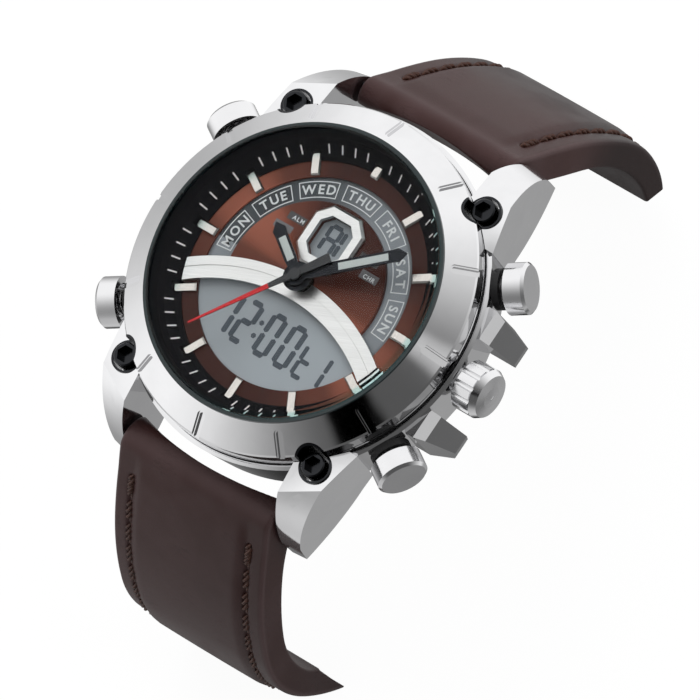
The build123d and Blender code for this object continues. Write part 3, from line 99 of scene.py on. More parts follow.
# The leather over the outer side line, across the strap and along it, in millimetres.
STRAP_HALF = (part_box("strap_upper")[1].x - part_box("strap_upper")[0].x) / 2 / MM
CROWN_RISE = 0.12       # roundness over the whole width
PAD_FALL = (1.7, 0.15)  # the padding falls between these distances inside the seam
PAD_SINK = 0.45         # share of the padding by which the border sinks, and the middle with it
PAD_BEGIN = (4.5, 0.5)  # the padding starts this far before the first stitch, and is full this far after it
GROOVE_HALF = 0.34      # half the width of the groove under the thread
GROOVE_BEGIN = 0.7      # the groove starts this far before the first stitch
TOP_ROUND = (0.55, 0.42)    # width and depth of the rounded upper side edge
BACK_ROUND = (0.40, 0.30)   # and of the one against the wrist
TOP_NOSE_RUN = 3.5      # run over which the outer form grows from the nose
BACK_NOSE_RUN = 3.0     # and the inner one

# A painted highlight on the shoulder where the strap bends: depth, run from the nose, half width;
# and the lighter band at the sides, partly scuffed leather and partly painted highlight.
SHOULDER_HIGHLIGHT, SHOULDER_HIGHLIGHT_RUN, SHOULDER_HIGHLIGHT_HALF = 0.7, 4.8, 1.1
SIDE_SCUFF_AND_HIGHLIGHT = (0.5, 0.2)

# The leather's grid: steps across the middle, round the seam and to the side, shares down the side
# face, and stations along the strap, a little closer together near the nose.
COLUMN_STEP = 1.15
COLUMN_END = 2.0
SEAM_COLUMNS = (-1.8, -1.4, -1.0, -0.7, -0.5, -0.35, -0.2, -0.08, 0.08, 0.2, 0.35, 0.5, 0.7, 1.0)
SIDE_COLUMNS = (0.85, 0.6, 0.45, 0.32, 0.2, 0.11, 0.05, 0.015, 0.0)
WALL_SHARES = (0.12, 0.3, 0.5, 0.7, 0.88)
STATIONS = 190
STATION_BIAS = 0.25
GRID_MERGE = 0.002 * MM     # the grid's points closer together than this are one
SHARP_EDGE = math.radians(50)
TOP_FACE, EDGE_FACE, LINING_FACE = 0, 1, 2  # the leather's finishes, in their order

# The padded leather hangs a little lower than the solids of the straps.
PADDING_BELOW = 0.3 * MM
FLOOR_Z = min(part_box("strap_upper")[0].z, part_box("strap_lower")[0].z) - PADDING_BELOW

# A stitch: turns of its two plies, steps of the twist, how far the plies stand apart, how much the
# ends narrow, flatten and dip, and how high it lies, with the ply's radius as the unit.
STITCH_TURNS = 1.75
STITCH_STEPS = 26
PLY_APART = 0.85
STITCH_NARROW, STITCH_FLATTEN, STITCH_DIP = 0.45, 0.35, 2.6
STITCH_HEIGHT = 0.75
# A row starts before the seam's own start, with a back stitch that is slid and lifted from the
# first stitch, and ends before the strap does, all in millimetres.
ROW_EARLY = 0.2
BACK_STITCH = (-0.5, 0.10)
ROW_END = 0.6
SEAM_STEP = 0.15        # the seam's direction is taken between points this far before and after

# Hour markers, as in the part's source, but as broad at the outer end as along the bar.
MARKER_IN = 13.72 * MM
MARKER_NOON_IN = 15.0 * MM
MARKER_OUT = 16.65 * MM
MARKER_WIDE = 1.1 * MM
MARKER_CORNER = 0.12 * MM   # cut from the two outer corners
MARKER_CHAMFER = 0.2 * MM   # and round the top
NOON = 3                # the marker at 12 o'clock, counted from 3 o'clock

# Pushers with their angles, where their springs rest on the tubes, and the share of that reach
# beyond which a vertex belongs to a pusher's own spring.
PUSHERS = {"2": 30, "4": -30, "8": 210, "10": 150}
PUSHER_TUBE_END = 23.95 * MM
SPRING_REACH = 0.8      # a vertex further out than this share of the tube belongs to the pusher's own spring

# Angles of the hands on the dial, counted from 3 o'clock, as in the part's source.
HOUR_ANGLE = math.radians(146.0)
MINUTE_ANGLE = math.radians(39.2)
SECOND_ANGLE = math.radians(233.9)
SECOND_RED = (3.45 * MM, 3.6 * MM)  # the second hand is black up to here, and red further out

# Paint in the hands: name, body, the hand's length, shares of it where the paint starts and ends,
# the hand's top and its angle.
LUME = (
    ("lume_hour", "hour", 7.85, (0.30, 0.72), HOUR_Z, HOUR_ANGLE),
    ("lume_minute", "minute", 14.1, (0.38, 0.83), MINUTE_Z, MINUTE_ANGLE),
)
LUME_HALF = 0.46 * MM
LUME_THICK = 0.06 * MM
LUME_DOME = ((0.10 * MM, 0.03 * MM), (0.12 * MM, 0.012 * MM))   # insets and the rise after each

# The day ring and its boxes: radii, angles and thicknesses.
DAYS = ("SUN", "SAT", "FRI", "THU", "WED", "TUE", "MON")
CHOSEN_DAY = "TUE"
DAY_FIRST = math.radians(6.3)
DAY_STEP = math.radians(27.9)
DAY_WIDTH = math.radians(23.7)
RING_RADII = (10.35 * MM, 13.65 * MM)
RING_ENDS = (math.radians(-24), math.radians(204))
RING_STEPS = 96
RING_THICK = 0.03 * MM
BOX_RADII = (11.03 * MM, 13.17 * MM)
BOX_STEPS = 14
BOX_LIFT = 0.002 * MM
FRAME_THICK = 0.012 * MM
FILL_THICK = 0.008 * MM
NAME_RADIUS = 12.1 * MM
NAME_GAP = 0.34 * MM
NAME_WEIGHT = 0.022     # how much bolder than the plain letters, as a share of their size

# Where the painted highlight of the sunburst is brightest, and again opposite.
SUNBURST_HIGHLIGHT_TURN = math.radians(157)

GLYPH_BARS = {
    "0": ("top", "upper_left", "upper_right", "lower_left", "lower_right", "bottom"),
    "1": ("upper_right", "lower_right"),
    "2": ("top", "upper_right", "middle", "lower_left", "bottom"),
    "A": ("top", "upper_left", "upper_right", "middle", "lower_left", "lower_right"),
    "t": ("upper_left", "middle", "lower_left", "bottom"),
}
# Each bar as shares of the glyph's half width and half height, and whether it stands upright.
BAR_SHARES = {
    "top": (0, 1, False),
    "middle": (0, 0, False),
    "bottom": (0, -1, False),
    "upper_left": (-1, 0.5, True),
    "upper_right": (1, 0.5, True),
    "lower_left": (-1, -0.5, True),
    "lower_right": (1, -0.5, True),
}
# Glyph, middle in millimetres, width and height between the middles of its bars, width of a bar.
GLYPHS = (
    ("1", -6.65, -7.45, 1.7, 5.15, 0.72),
    ("2", -3.85, -7.45, 1.7, 5.15, 0.72),
    ("0", -0.15, -7.45, 1.7, 5.15, 0.72),
    ("0", 3.0, -7.45, 1.7, 5.15, 0.72),
    ("t", 5.8, -8.13, 1.5, 4.0, 0.58),
    ("1", 8.1, -8.13, 1.5, 4.0, 0.58),
    ("A", -0.5, 6.11, 1.6, 3.40, 0.58),
    ("1", 0.13, 6.11, 1.6, 3.40, 0.58),
)
COLON = ((-2.0, -6.62), (-2.0, -8.42))
COLON_DOT = (0.72, 0.62)    # length and width
BAR_GAP = 0.20          # share of its width by which a bar is shorter than its run
BAR_THICK = 0.01 * MM
FIGURES_Z = DISPLAY_Z + 0.002 * MM

# Small label plates beside the window: name, corners and grey of the plate, word, its middle and height.
LABELS = (
    ("upper_left", (-6.85, 5.72), (-4.25, 6.77), 0.055, "ALM", (-5.30, 6.21), 0.56),
    ("lower_left", (-7.90, 4.15), (-5.20, 5.10), 0.160, "", (0, 0), 0),
    ("upper_right", (4.30, 5.70), (7.25, 6.75), 0.030, "", (0, 0), 0),
    ("lower_right", (5.70, 3.90), (8.30, 5.00), 0.130, "CHR", (7.10, 4.33), 0.56),
)
LABEL_GAP = 0.14 * MM
LABEL_WEIGHT = 0.02
LABEL_BLUE = 1.06       # the plates' blue, as a share of their grey
# The ground under the plates on each side of the window, in millimetres: from and to, low and high.
GROUND_ACROSS = (4.05, 7.0)
GROUND_UP = (4.45, 6.85)
# Undersides over the inner dial, and thicknesses.
GROUND_THICK = 0.012 * MM
LABEL_LIFT, LABEL_THICK = 0.011 * MM, 0.02 * MM
WORD_LIFT = 0.036 * MM

LETTER_DEPTH = 0.01     # thickness of a letter, as a share of its size
LETTER_CURVE = 4        # steps in a letter's curves

# Minute ticks: radius and height of their inner and outer ends, thickness, softened edge, and lift.
TICK_IN = Vector((16.34, 0, 10.07)) * MM
TICK_OUT = Vector((17.26, 0, 10.82)) * MM
TICK_THICK = 0.02 * MM
TICK_SOFT = 0.006 * MM
TICK_LIFT = 0.004 * MM

MERGE = 0.0000005       # vertices closer together than this are one
LEVEL_FACE = 0.9        # a face whose normal points up by more than this is a top

# Dark places of the light tent, and a light one, whose depth is under nothing: direction round and
# over the watch, radius of the middle, radius of the soft edge, all in degrees, and depth.
TENT_RADIUS = 0.6
TENT_SHADES = (
    (-31.0, 23.0, 29.0, 98.0, 1.06),
    (-49.0, 53.0, 3.0, 13.0, 0.36),
    (169.0, -34.0, 7.0, 63.0, 0.85),
    (14.0, -79.0, 28.0, 49.0, 0.77),
    (-119.0, -40.0, 14.0, 49.0, 0.45),
    (9.0, 45.0, 4.0, 9.0, -0.50),
)

# The floor's size, its white glow to the camera, and its own colour and roughness.
FLOOR_SIZE = 6.0
FLOOR_GLOW = 1.05
FLOOR_TONE = (0.92, 0.92, 0.92, 1.0)
FLOOR_ROUGHNESS = 0.9

# The photograph's camera: directions to its right and towards it, where it aims beside and over the
# dial's middle, the dial's level, its distance in metres, its focal length and sensor, and how far
# it sees.
VIEW_RIGHT = Vector((0.7577, 0.5532, -0.3463))
VIEW_TOWARDS = Vector((0.4797, -0.1123, 0.8702))
VIEW_AIM = (5.56 * MM, -8.05 * MM)
VIEW_LEVEL = 10 * MM
VIEW_DISTANCE = 1.5
VIEW_LENS, VIEW_SENSOR = 650.3, 36.0
VIEW_CLIP = 20.0


def colour(name, what, default):
    return bpy.props.FloatVectorProperty(
        name=name, description=what, subtype="COLOR", size=4, min=0, max=1, default=default + (1.0,)
    )


def length(name, what, default):
    return bpy.props.FloatProperty(
        name=name, description=what, unit="LENGTH", min=0, precision=5, default=default * MM
    )


def amount(name, what, default, top=1.0):
    return bpy.props.FloatProperty(name=name, description=what, min=0, max=top, default=default)


def power(name, what, default):
    return bpy.props.FloatProperty(name=name, description=what, unit="POWER", default=default)


class LeatherSettings(bpy.types.PropertyGroup):
    tone: colour("Leather", "Colour of the smooth leather", (0.049, 0.0190, 0.0175))
    # The lighter colour of scuffed leather, used too for the strap's painted highlight.
    worn_and_highlighted: colour("Worn leather", "Colour where hands have rubbed it", (0.130, 0.085, 0.086))
    edge: colour("Edge paint", "Colour of the painted side faces", (0.0100, 0.0042, 0.0038))
    lining: colour("Lining", "Colour of the leather against the wrist", (0.046, 0.021, 0.015))
    thread: colour("Thread", "Colour of the waxed thread", (0.100, 0.036, 0.022))
    gloss: amount("Roughness", "Roughness of the leather", 0.36)
    inset: length("Seam inset", "Distance of a seam from the strap's side", 2.45)
    pad: length("Padding", "Rise of the padded middle over the border", 0.50)
    groove: length("Groove", "Depth of the groove under the thread", 0.35)
    stitch: length("Stitch", "Length of one stitch", 3.5)
    gap: length("Stitch gap", "Distance between two stitches", 0.10)
    ply: length("Ply", "Radius of one ply of the thread", 0.27)


class DialSettings(bpy.types.PropertyGroup):
    brown: colour("Dial", "Lacquer of the dial", (0.040, 0.0085, 0.0050))
    # A painted highlight: the lacquer's colour in the lobes where the sunburst catches the light.
    glow: colour("Sunburst", "Lacquer where the sunburst catches the light", (0.440, 0.142, 0.088))
    # The two ends of the day ring's painted reflection.
    ring_dark_reflection: colour("Day ring, dark", "Day ring towards Monday", (0.030, 0.040, 0.048))
    ring_bright_reflection: colour("Day ring, light", "Day ring towards Sunday", (0.250, 0.280, 0.305))
    chosen: colour("Chosen day", "Fill of the box of the chosen day", (0.012, 0.019, 0.026))
    print_tone: colour("Printing", "White printing", (0.80, 0.84, 0.85))
    lume: colour("Luminous paint", "Paint in the hands", (0.58, 0.64, 0.63))
    line: length("Box line", "Width of the lines round the day boxes", 0.13)
    letter: length("Letters", "Height of the day letters", 1.22)
    tick: length("Tick", "Width of a minute tick", 0.19)


class DisplaySettings(bpy.types.PropertyGroup):
    glass: colour("Display", "Grey of the display", (0.360, 0.405, 0.435))
    segment: colour("Segments", "Dark segments of the display", (0.050, 0.068, 0.088))


class MetalSettings(bpy.types.PropertyGroup):
    steel: colour("Steel", "Colour of the steel", (0.80, 0.80, 0.81))
    polish: amount("Polish", "Roughness of the polished steel", 0.09)


class StageSettings(bpy.types.PropertyGroup):
    world: amount("World", "Strength of the white room", 0.44, 5.0)
    key: power("Key", "Power of the large lamp", 3.2)
    rim: power("Rim", "Power of the lamp behind", 1.4)
    shadow: amount("Shadow", "Share of the floor's own shading that shows", 0.10)
    tent: amount("Tent", "Brightness of the light tent in the steel", 1.17, 5.0)


SETTINGS = {
    "watch_leather": LeatherSettings,
    "watch_dial": DialSettings,
    "watch_display": DisplaySettings,
    "watch_metal": MetalSettings,
    "watch_stage": StageSettings,
}


def clear():
    """Object mode with nothing selected, because an operator acts on all that is selected."""
    if bpy.context.object and bpy.context.object.mode != "OBJECT":
        bpy.ops.object.mode_set(mode="OBJECT")
    bpy.ops.object.select_all(action="DESELECT")


def pick(*pieces):
    clear()
    for piece in pieces:
        piece.select_set(True)
    bpy.context.view_layer.objects.active = pieces[0]
    return pieces[0]


def linked(name, mesh):
    """A new piece made of a mesh, selected."""
    piece = bpy.data.objects.new(name, mesh)
    bpy.context.collection.objects.link(piece)
    return pick(piece)


def edit(mode="FACE"):
    bpy.ops.object.mode_set(mode="EDIT")
    bpy.ops.mesh.select_mode(type=mode)


def done():
    bpy.ops.object.mode_set(mode="OBJECT")
    return bpy.context.object


def choose(kind, test):
    """In edit mode, select the vertices, edges or faces whose middle and normal pass the test."""
    piece = bpy.context.object
    mesh = bmesh.from_edit_mesh(piece.data)
    for group in (mesh.verts, mesh.edges, mesh.faces):
        for part in group:
            part.select = False
    for part in getattr(mesh, kind):
        if kind == "verts":
            middle, normal = part.co, part.normal
        elif kind == "edges":
            middle, normal = (part.verts[0].co + part.verts[1].co) / 2, None
        else:
            middle, normal = part.calc_center_median(), part.normal
        part.select_set(test(middle, normal))
    mesh.select_flush_mode()
    bmesh.update_edit_mesh(piece.data)


def choose_all():
    bpy.ops.mesh.select_all(action="SELECT")


def face_outwards():
    choose_all()
    bpy.ops.mesh.normals_make_consistent(inside=False)


def merge_doubles():
    choose_all()
    bpy.ops.mesh.remove_doubles(threshold=MERGE)


def chamfer(width):
    bpy.ops.mesh.bevel(offset=width, segments=1, affect="EDGES")


def settle():
    """Put the active piece's place, turn and size into its mesh."""
    bpy.ops.object.transform_apply(location=True, rotation=True, scale=True)


def thickened(height):
    """Give the flat piece in hand a thickness, straight up."""
    edit()
    choose_all()
    bpy.ops.mesh.extrude_region_move(TRANSFORM_OT_translate={"value": (0, 0, height)})
    face_outwards()
    return done()


def block(size, middle=(0, 0, 0)):
    """A block about its middle, from which a piece is shaped."""
    clear()
    bpy.ops.mesh.primitive_cube_add(size=1.0)
    piece = bpy.context.object
    piece.dimensions = size
    piece.location = middle
    settle()
    return piece


def place(piece, x=0.0, y=0.0, z=0.0, turn=0.0, tilt=0.0):
    """Set a piece's place, tilted about its own X and then turned about Z, and put that into its mesh."""
    turned = Matrix.Rotation(turn, 4, "Z") @ Matrix.Rotation(tilt, 4, "X")
    piece.matrix_world = Matrix.Translation((x, y, z)) @ turned
    pick(piece)
    settle()
    return piece


def copy_of(piece):
    twin = piece.copy()
    twin.data = piece.data.copy()
    bpy.context.collection.objects.link(twin)
    return twin


def joined(pieces):
    pick(*pieces)
    if len(pieces) > 1:
        bpy.ops.object.join()
    return bpy.context.object


def modified(piece, kind, **values):
    """Add a modifier, set it and apply it."""
    pick(piece)
    modifier = piece.modifiers.new(kind.title(), kind)
    for name, value in values.items():
        setattr(modifier, name, value)
    bpy.ops.object.modifier_apply(modifier=modifier.name)
    return piece


def finished(piece, name, body, slot, *finishes):
    """Name a piece, give it its finishes and hang it on its body."""
    piece.name = piece.data.name = name
    piece.data.materials.clear()
    for finish in finishes:
        piece.data.materials.append(finish)
    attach(piece, body)
    return piece


def polar(radius, angle):
    return radius * math.cos(angle), radius * math.sin(angle)


# Node helpers

FLOAT, VECTOR = "NodeSocketFloat", "NodeSocketVector"
PLACE_INPUT = ("Vector", VECTOR, None)


def add(tree, kind, **settings):
    """A node with its plain settings set by name."""
    node = tree.nodes.new(kind)
    for name, value in settings.items():
        setattr(node, name, value)
    return node


def feed(tree, source, socket):
    """Link a socket, or set a plain value."""
    if isinstance(source, bpy.types.NodeSocket):
        tree.links.new(source, socket)
    else:
        socket.default_value = source


def fed(tree, node, **values):
    """Feed a node's inputs by name, with _ for a space, and give its outputs."""
    for name, value in values.items():
        feed(tree, value, node.inputs[name.replace("_", " ")])
    return node.outputs


def maths(tree, operation, *values, clamp=False):
    node = add(tree, "ShaderNodeMath", operation=operation, use_clamp=clamp)
    for socket, value in zip(node.inputs, values):
        feed(tree, value, socket)
    return node.outputs[0]


def plus(tree, first, second, clamp=False):
    return maths(tree, "ADD", first, second, clamp=clamp)


def minus(tree, first, second):
    return maths(tree, "SUBTRACT", first, second)


def times(tree, first, second):
    return maths(tree, "MULTIPLY", first, second)


def span(tree, value, low, high, out_low=0.0, out_high=1.0, smooth=False):
    """A value mapped from one range to another, held at both ends."""
    node = add(tree, "ShaderNodeMapRange", interpolation_type="SMOOTHSTEP" if smooth else "LINEAR")
    return fed(tree, node, Value=value, From_Min=low, From_Max=high, To_Min=out_low, To_Max=out_high)["Result"]


def blend_colours(tree, factor, first, second):
    node = add(tree, "ShaderNodeMix", data_type="RGBA")
    for number, value in ((0, factor), (6, first), (7, second)):
        feed(tree, value, node.inputs[number])
    return node.outputs[2]


def scaled_colour(tree, tone, factor):
    node = add(tree, "ShaderNodeVectorMath", operation="SCALE")
    feed(tree, tone, node.inputs[0])
    feed(tree, factor, node.inputs["Scale"])
    return node.outputs[0]


def noise(tree, vector, scale, detail=3.0, roughness=0.55):
    node = add(tree, "ShaderNodeTexNoise")
    return fed(tree, node, Vector=vector, Scale=scale, Detail=detail, Roughness=roughness)["Fac"]


def mapped(tree, vector, scale=(1, 1, 1), turn=(0, 0, 0)):
    return fed(tree, add(tree, "ShaderNodeMapping"), Vector=vector, Scale=scale, Rotation=turn)["Vector"]


def combined(tree, *values):
    """A vector of up to three values."""
    node = add(tree, "ShaderNodeCombineXYZ")
    for socket, value in zip(node.inputs, values):
        feed(tree, value, socket)
    return node.outputs[0]


def here(tree):
    return add(tree, "ShaderNodeTexCoord").outputs["Object"]


def straight_place(tree):
    """Place along the watch's three axes."""
    return fed(tree, add(tree, "ShaderNodeSeparateXYZ"), Vector=here(tree))


def round_place(tree):
    """Radius and angle about the watch's upright axis, and the height."""
    x, y, z = straight_place(tree)
    radius = maths(tree, "SQRT", plus(tree, times(tree, x, x), times(tree, y, y)))
    return radius, maths(tree, "ARCTAN2", y, x), z


def rays(tree, first, *others):
    """1 for light rays of these kinds and 0 for all others."""
    paths = add(tree, "ShaderNodeLightPath").outputs
    seen = paths[f"Is {first} Ray"]
    for kind in others:
        seen = maths(tree, "MAXIMUM", seen, paths[f"Is {kind} Ray"])
    return seen


def group(name, inputs, outputs, fill):
    """A node group with named sockets, built once."""
    if name in bpy.data.node_groups:
        return bpy.data.node_groups[name]
    tree = bpy.data.node_groups.new(name, "ShaderNodeTree")
    for label, kind, default in inputs:
        socket = tree.interface.new_socket(label, in_out="INPUT", socket_type=kind)
        if default is not None:
            socket.default_value = default
    for label in outputs:
        tree.interface.new_socket(label, in_out="OUTPUT", socket_type=FLOAT)
    fill(tree, tree.nodes.new("NodeGroupInput").outputs, tree.nodes.new("NodeGroupOutput").inputs)
    return tree


def use(tree, made, **values):
    """Place a node group and feed its inputs."""
    return fed(tree, add(tree, "ShaderNodeGroup", node_tree=made), **values)



def handling_marks():
    """Finger haze and hairline scratches on metal, glass and plastic."""

    def fill(tree, given, out):
        haze = noise(tree, given["Vector"], given["Scale"], 4.0)
        stretched = mapped(tree, given["Vector"], (1, 14, 3), (0.3, 0.5, 0.7))
        hairs = noise(tree, stretched, times(tree, given["Scale"], 9.0), 2.0, 0.8)
        hair_mask = span(tree, hairs, 0.60, 0.72, smooth=True)
        scratched = times(tree, hair_mask, given["Scratches"])
        rough = plus(tree, given["Roughness"], times(tree, minus(tree, haze, 0.45), given["Haze"]))
        feed(tree, plus(tree, rough, scratched, clamp=True), out["Roughness"])
        feed(tree, minus(tree, times(tree, haze, 0.2), scratched), out["Height"])
        feed(tree, haze, out["Mask"])

    inputs = (
        PLACE_INPUT,
        ("Scale", FLOAT, 300.0),
        ("Roughness", FLOAT, 0.2),
        ("Haze", FLOAT, 0.1),
        ("Scratches", FLOAT, 0.05),
    )
    return group("handling_marks", inputs, ("Roughness", "Height", "Mask"), fill)


def brushed_lines():
    """Fine parallel lines left by a brush, across the first axis of the vector."""

    def fill(tree, given, out):
        fine = mapped(tree, given["Vector"], (1.0, 0.02, 0.02))
        lines = noise(tree, fine, given["Scale"], 3.0, 0.7)
        broad = noise(tree, fine, times(tree, given["Scale"], 0.2), 2.0)
        both = plus(tree, times(tree, lines, 0.7), times(tree, broad, 0.3))
        feed(tree, both, out["Height"])
        feed(tree, span(tree, both, 0.3, 0.7), out["Mask"])

    return group("brushed_lines", (PLACE_INPUT, ("Scale", FLOAT, 20000.0)), ("Height", "Mask"), fill)


def leather_grain():
    """Pores, pebbles and soft creases of smooth leather."""

    def fill(tree, given, out):
        warp = noise(tree, given["Vector"], 160.0, 2.0)
        pebbles = add(tree, "ShaderNodeTexVoronoi", feature="DISTANCE_TO_EDGE")
        pebble_edge = fed(tree, pebbles, Vector=given["Vector"], Scale=given["Scale"])["Distance"]
        edges = span(tree, pebble_edge, 0.0, 0.16, smooth=True)
        pores = noise(tree, given["Vector"], times(tree, given["Scale"], 2.2), 3.0)
        across = mapped(tree, given["Vector"], (260.0, 1500.0, 1500.0))
        creases = noise(tree, across, 1.0, 4.0, 0.6)
        off_crease = maths(tree, "ABSOLUTE", minus(tree, creases, 0.5))
        folds = minus(tree, 1.0, span(tree, off_crease, 0.0, 0.03, smooth=True))
        fold_mask = times(tree, folds, span(tree, warp, 0.50, 0.64, smooth=True))
        height = plus(tree, times(tree, edges, 0.35), times(tree, pores, 0.4))
        feed(tree, minus(tree, height, times(tree, fold_mask, given["Creases"])), out["Height"])
        feed(tree, fold_mask, out["Creases"])
        feed(tree, span(tree, warp, 0.35, 0.68, smooth=True), out["Mask"])

    inputs = (PLACE_INPUT, ("Scale", FLOAT, 3500.0), ("Creases", FLOAT, 0.8))
    return group("leather_grain", inputs, ("Height", "Creases", "Mask"), fill)


def moulding():
    """The faint orange peel and flow marks of moulded plastic and rubber."""

    def fill(tree, given, out):
        peel = noise(tree, given["Vector"], given["Scale"], 2.0)
        cloud = noise(tree, given["Vector"], times(tree, given["Scale"], 0.12), 3.0)
        feed(tree, peel, out["Height"])
        feed(tree, span(tree, cloud, 0.3, 0.7), out["Mask"])

    return group("moulding", (PLACE_INPUT, ("Scale", FLOAT, 2500.0)), ("Height", "Mask"), fill)


def start_material(name):
    finish = bpy.data.materials.new(name)
    finish.use_nodes = True
    tree = finish.node_tree
    tree.nodes.clear()
    shader = add(tree, "ShaderNodeBsdfPrincipled")
    tree.links.new(shader.outputs[0], add(tree, "ShaderNodeOutputMaterial").inputs[0])
    return finish, tree, shader.inputs


def mix_in(tree, other, factor):
    """Let another shader take the place of a material's own by a factor."""
    kinds = {node.type: node for node in tree.nodes}
    blend = add(tree, "ShaderNodeMixShader")
    feed(tree, factor, blend.inputs[0])
    tree.links.new(kinds["BSDF_PRINCIPLED"].outputs[0], blend.inputs[1])
    tree.links.new(other.outputs[0], blend.inputs[2])
    tree.links.new(blend.outputs[0], kinds["OUTPUT_MATERIAL"].inputs[0])


def surface(tree, shader, tone, roughness, height, strength, depth):
    """Feed a material's colour, roughness and relief, with the relief's depth in millimetres."""
    feed(tree, tone, shader["Base Color"])
    feed(tree, roughness, shader["Roughness"])
    bump = fed(tree, add(tree, "ShaderNodeBump"), Height=height, Strength=strength, Distance=depth * MM)
    feed(tree, bump["Normal"], shader["Normal"])


def plain(shader, **values):
    """Set a shader's own sockets, with _ for a space."""
    for name, value in values.items():
        shader[name.replace("_", " ")].default_value = value


def deeper(tone, factor):
    return tuple(channel * factor for channel in tone[:3]) + (1.0,)


def marked(tree, roughness, haze=0.08, scratches=0.03, scale=260.0):
    """Handling marks over a metal's own roughness."""
    return use(
        tree, handling_marks(), Vector=here(tree), Scale=scale, Roughness=roughness, Haze=haze, Scratches=scratches
    )


def polished_metal(name, tone, roughness, haze=0.05, dark=0.88):
    finish, tree, shader = start_material(name)
    marks = marked(tree, roughness, haze)
    base = blend_colours(tree, marks["Mask"], deeper(tone, dark), tone)
    surface(tree, shader, base, marks["Roughness"], marks["Height"], 0.08, 0.01)
    plain(shader, Metallic=1.0)
    return finish


def satin_metal(name, tone, roughness, turn=(0, 0, 0), scale=16000.0, relief=0.35, dark=0.80):
    """Metal brushed in straight lines."""
    finish, tree, shader = start_material(name)
    lines = use(tree, brushed_lines(), Vector=mapped(tree, here(tree), turn=turn), Scale=scale)
    base = blend_colours(tree, lines["Mask"], deeper(tone, dark), tone)
    rough = plus(tree, marked(tree, roughness)["Roughness"], times(tree, lines["Mask"], 0.06))
    surface(tree, shader, base, rough, lines["Height"], relief, 0.012)
    plain(shader, Metallic=1.0)
    return finish


def turned_metal(name, tone, roughness, black_over=None, scale=9000.0, dark=0.82):
    """Metal brushed in circles round the watch's axis, and black above a level where one is given."""
    finish, tree, shader = start_material(name)
    radius, angle, z = round_place(tree)
    circles = combined(tree, radius, times(tree, angle, 0.01), z)
    lines = use(tree, brushed_lines(), Vector=circles, Scale=scale)
    base = blend_colours(tree, lines["Mask"], deeper(tone, dark), tone)
    if black_over is not None:
        black = (0.014, 0.015, 0.017, 1.0)
        base = blend_colours(tree, maths(tree, "GREATER_THAN", z, black_over), base, black)
    rough = marked(tree, roughness, scale=300.0)["Roughness"]
    surface(tree, shader, base, rough, lines["Height"], 0.3, 0.01)
    plain(shader, Metallic=1.0)
    return finish


def plastic(name, tone, roughness, scale=2500.0, relief=0.15, coat=0.0, shine=0.5):
    finish, tree, shader = start_material(name)
    skin = use(tree, moulding(), Vector=here(tree), Scale=scale)
    base = blend_colours(tree, skin["Mask"], deeper(tone, 0.75), tone)
    rough = span(tree, skin["Mask"], 0.0, 1.0, roughness * 0.9, min(1.0, roughness * 1.12))
    surface(tree, shader, base, rough, skin["Height"], relief, 0.02)
    plain(shader, Coat_Weight=coat, Specular_IOR_Level=shine)
    return finish


def printed(name, tone, roughness=0.45):
    """Printing ink or paint with a slightly uneven cover."""
    finish, tree, shader = start_material(name)
    cover = noise(tree, here(tree), 6000.0)
    base = blend_colours(tree, span(tree, cover, 0.3, 0.7), deeper(tone, 0.88), tone)
    rough = span(tree, cover, 0.3, 0.7, roughness * 0.85, roughness * 1.15)
    surface(tree, shader, base, rough, cover, 0.15, 0.01)
    return finish


def sunburst(name, dial):
    """Brown lacquer over a brushed sunburst: fine spokes, and broad lobes of painted highlight where it catches the
    light.
    """
    finish, tree, shader = start_material(name)
    radius, angle, _ = round_place(tree)
    fine = noise(tree, combined(tree, times(tree, angle, 60.0), times(tree, radius, 40.0)), 1.0, 4.0, 0.7)
    # Painted highlight: two broad lobes, lightest at the sunburst's brightest turn and opposite it.
    lobes = maths(tree, "COSINE", minus(tree, times(tree, angle, 2.0), 2 * SUNBURST_HIGHLIGHT_TURN))
    broad = span(tree, lobes, -0.3, 0.7, 0.0, 0.25, smooth=True)
    narrow = span(tree, lobes, 0.7, 1.0, 0.0, 0.55, smooth=True)
    spokes = times(tree, minus(tree, fine, 0.5), 0.3)
    glow = plus(tree, plus(tree, broad, narrow), spokes, clamp=True)
    base = blend_colours(tree, glow, dial.brown, dial.glow)
    surface(tree, shader, base, span(tree, fine, 0.3, 0.7, 0.30, 0.42), fine, 0.15, 0.01)
    plain(shader, Specular_IOR_Level=0.15, Coat_Weight=0.05, Coat_Roughness=0.08)
    return finish


def leather(name, tone, worn_and_highlighted, roughness, creases=0.8, wear_and_highlight=0.55):
    """Leather, lighter in scuffed patches and sides and with a painted highlight on its shoulder, both as one
    attribute says, and with painted shade as another attribute says.
    """
    finish, tree, shader = start_material(name)
    grain = use(tree, leather_grain(), Vector=here(tree), Scale=3200.0, Creases=creases)
    rubbed = add(tree, "ShaderNodeAttribute", attribute_name="rubbed").outputs["Fac"]
    darkened = add(tree, "ShaderNodeAttribute", attribute_name="darkened").outputs["Fac"]
    base = blend_colours(tree, times(tree, grain["Mask"], wear_and_highlight * 0.45), tone, worn_and_highlighted)
    base = blend_colours(tree, times(tree, grain["Creases"], 0.5), base, deeper(tone, 0.5))
    # Painted highlight on the shoulder where the strap bends, and lighter sides, partly scuffed leather and partly
    # painted highlight.
    base = blend_colours(tree, times(tree, rubbed, wear_and_highlight), base, worn_and_highlighted)
    # Painted shade: darker where the strap turns away from the light, and across it towards one side.
    base = blend_colours(tree, darkened, base, (0.004, 0.002, 0.002, 1.0))
    rough = span(tree, grain["Mask"], 0.0, 1.0, roughness, roughness + 0.10)
    surface(tree, shader, base, rough, grain["Height"], 0.35, 0.05)
    plain(shader, Specular_IOR_Level=0.17, Coat_Weight=0.06, Coat_Roughness=0.30)
    return finish


def waxed_thread(name, tone):
    finish, tree, shader = start_material(name)
    fibres = noise(tree, here(tree), 5200.0, 3.0, 0.7)
    base = blend_colours(tree, span(tree, fibres, 0.35, 0.68), deeper(tone, 0.28), tone)
    surface(tree, shader, base, span(tree, fibres, 0.3, 0.7, 0.42, 0.62), fibres, 0.6, 0.06)
    return finish


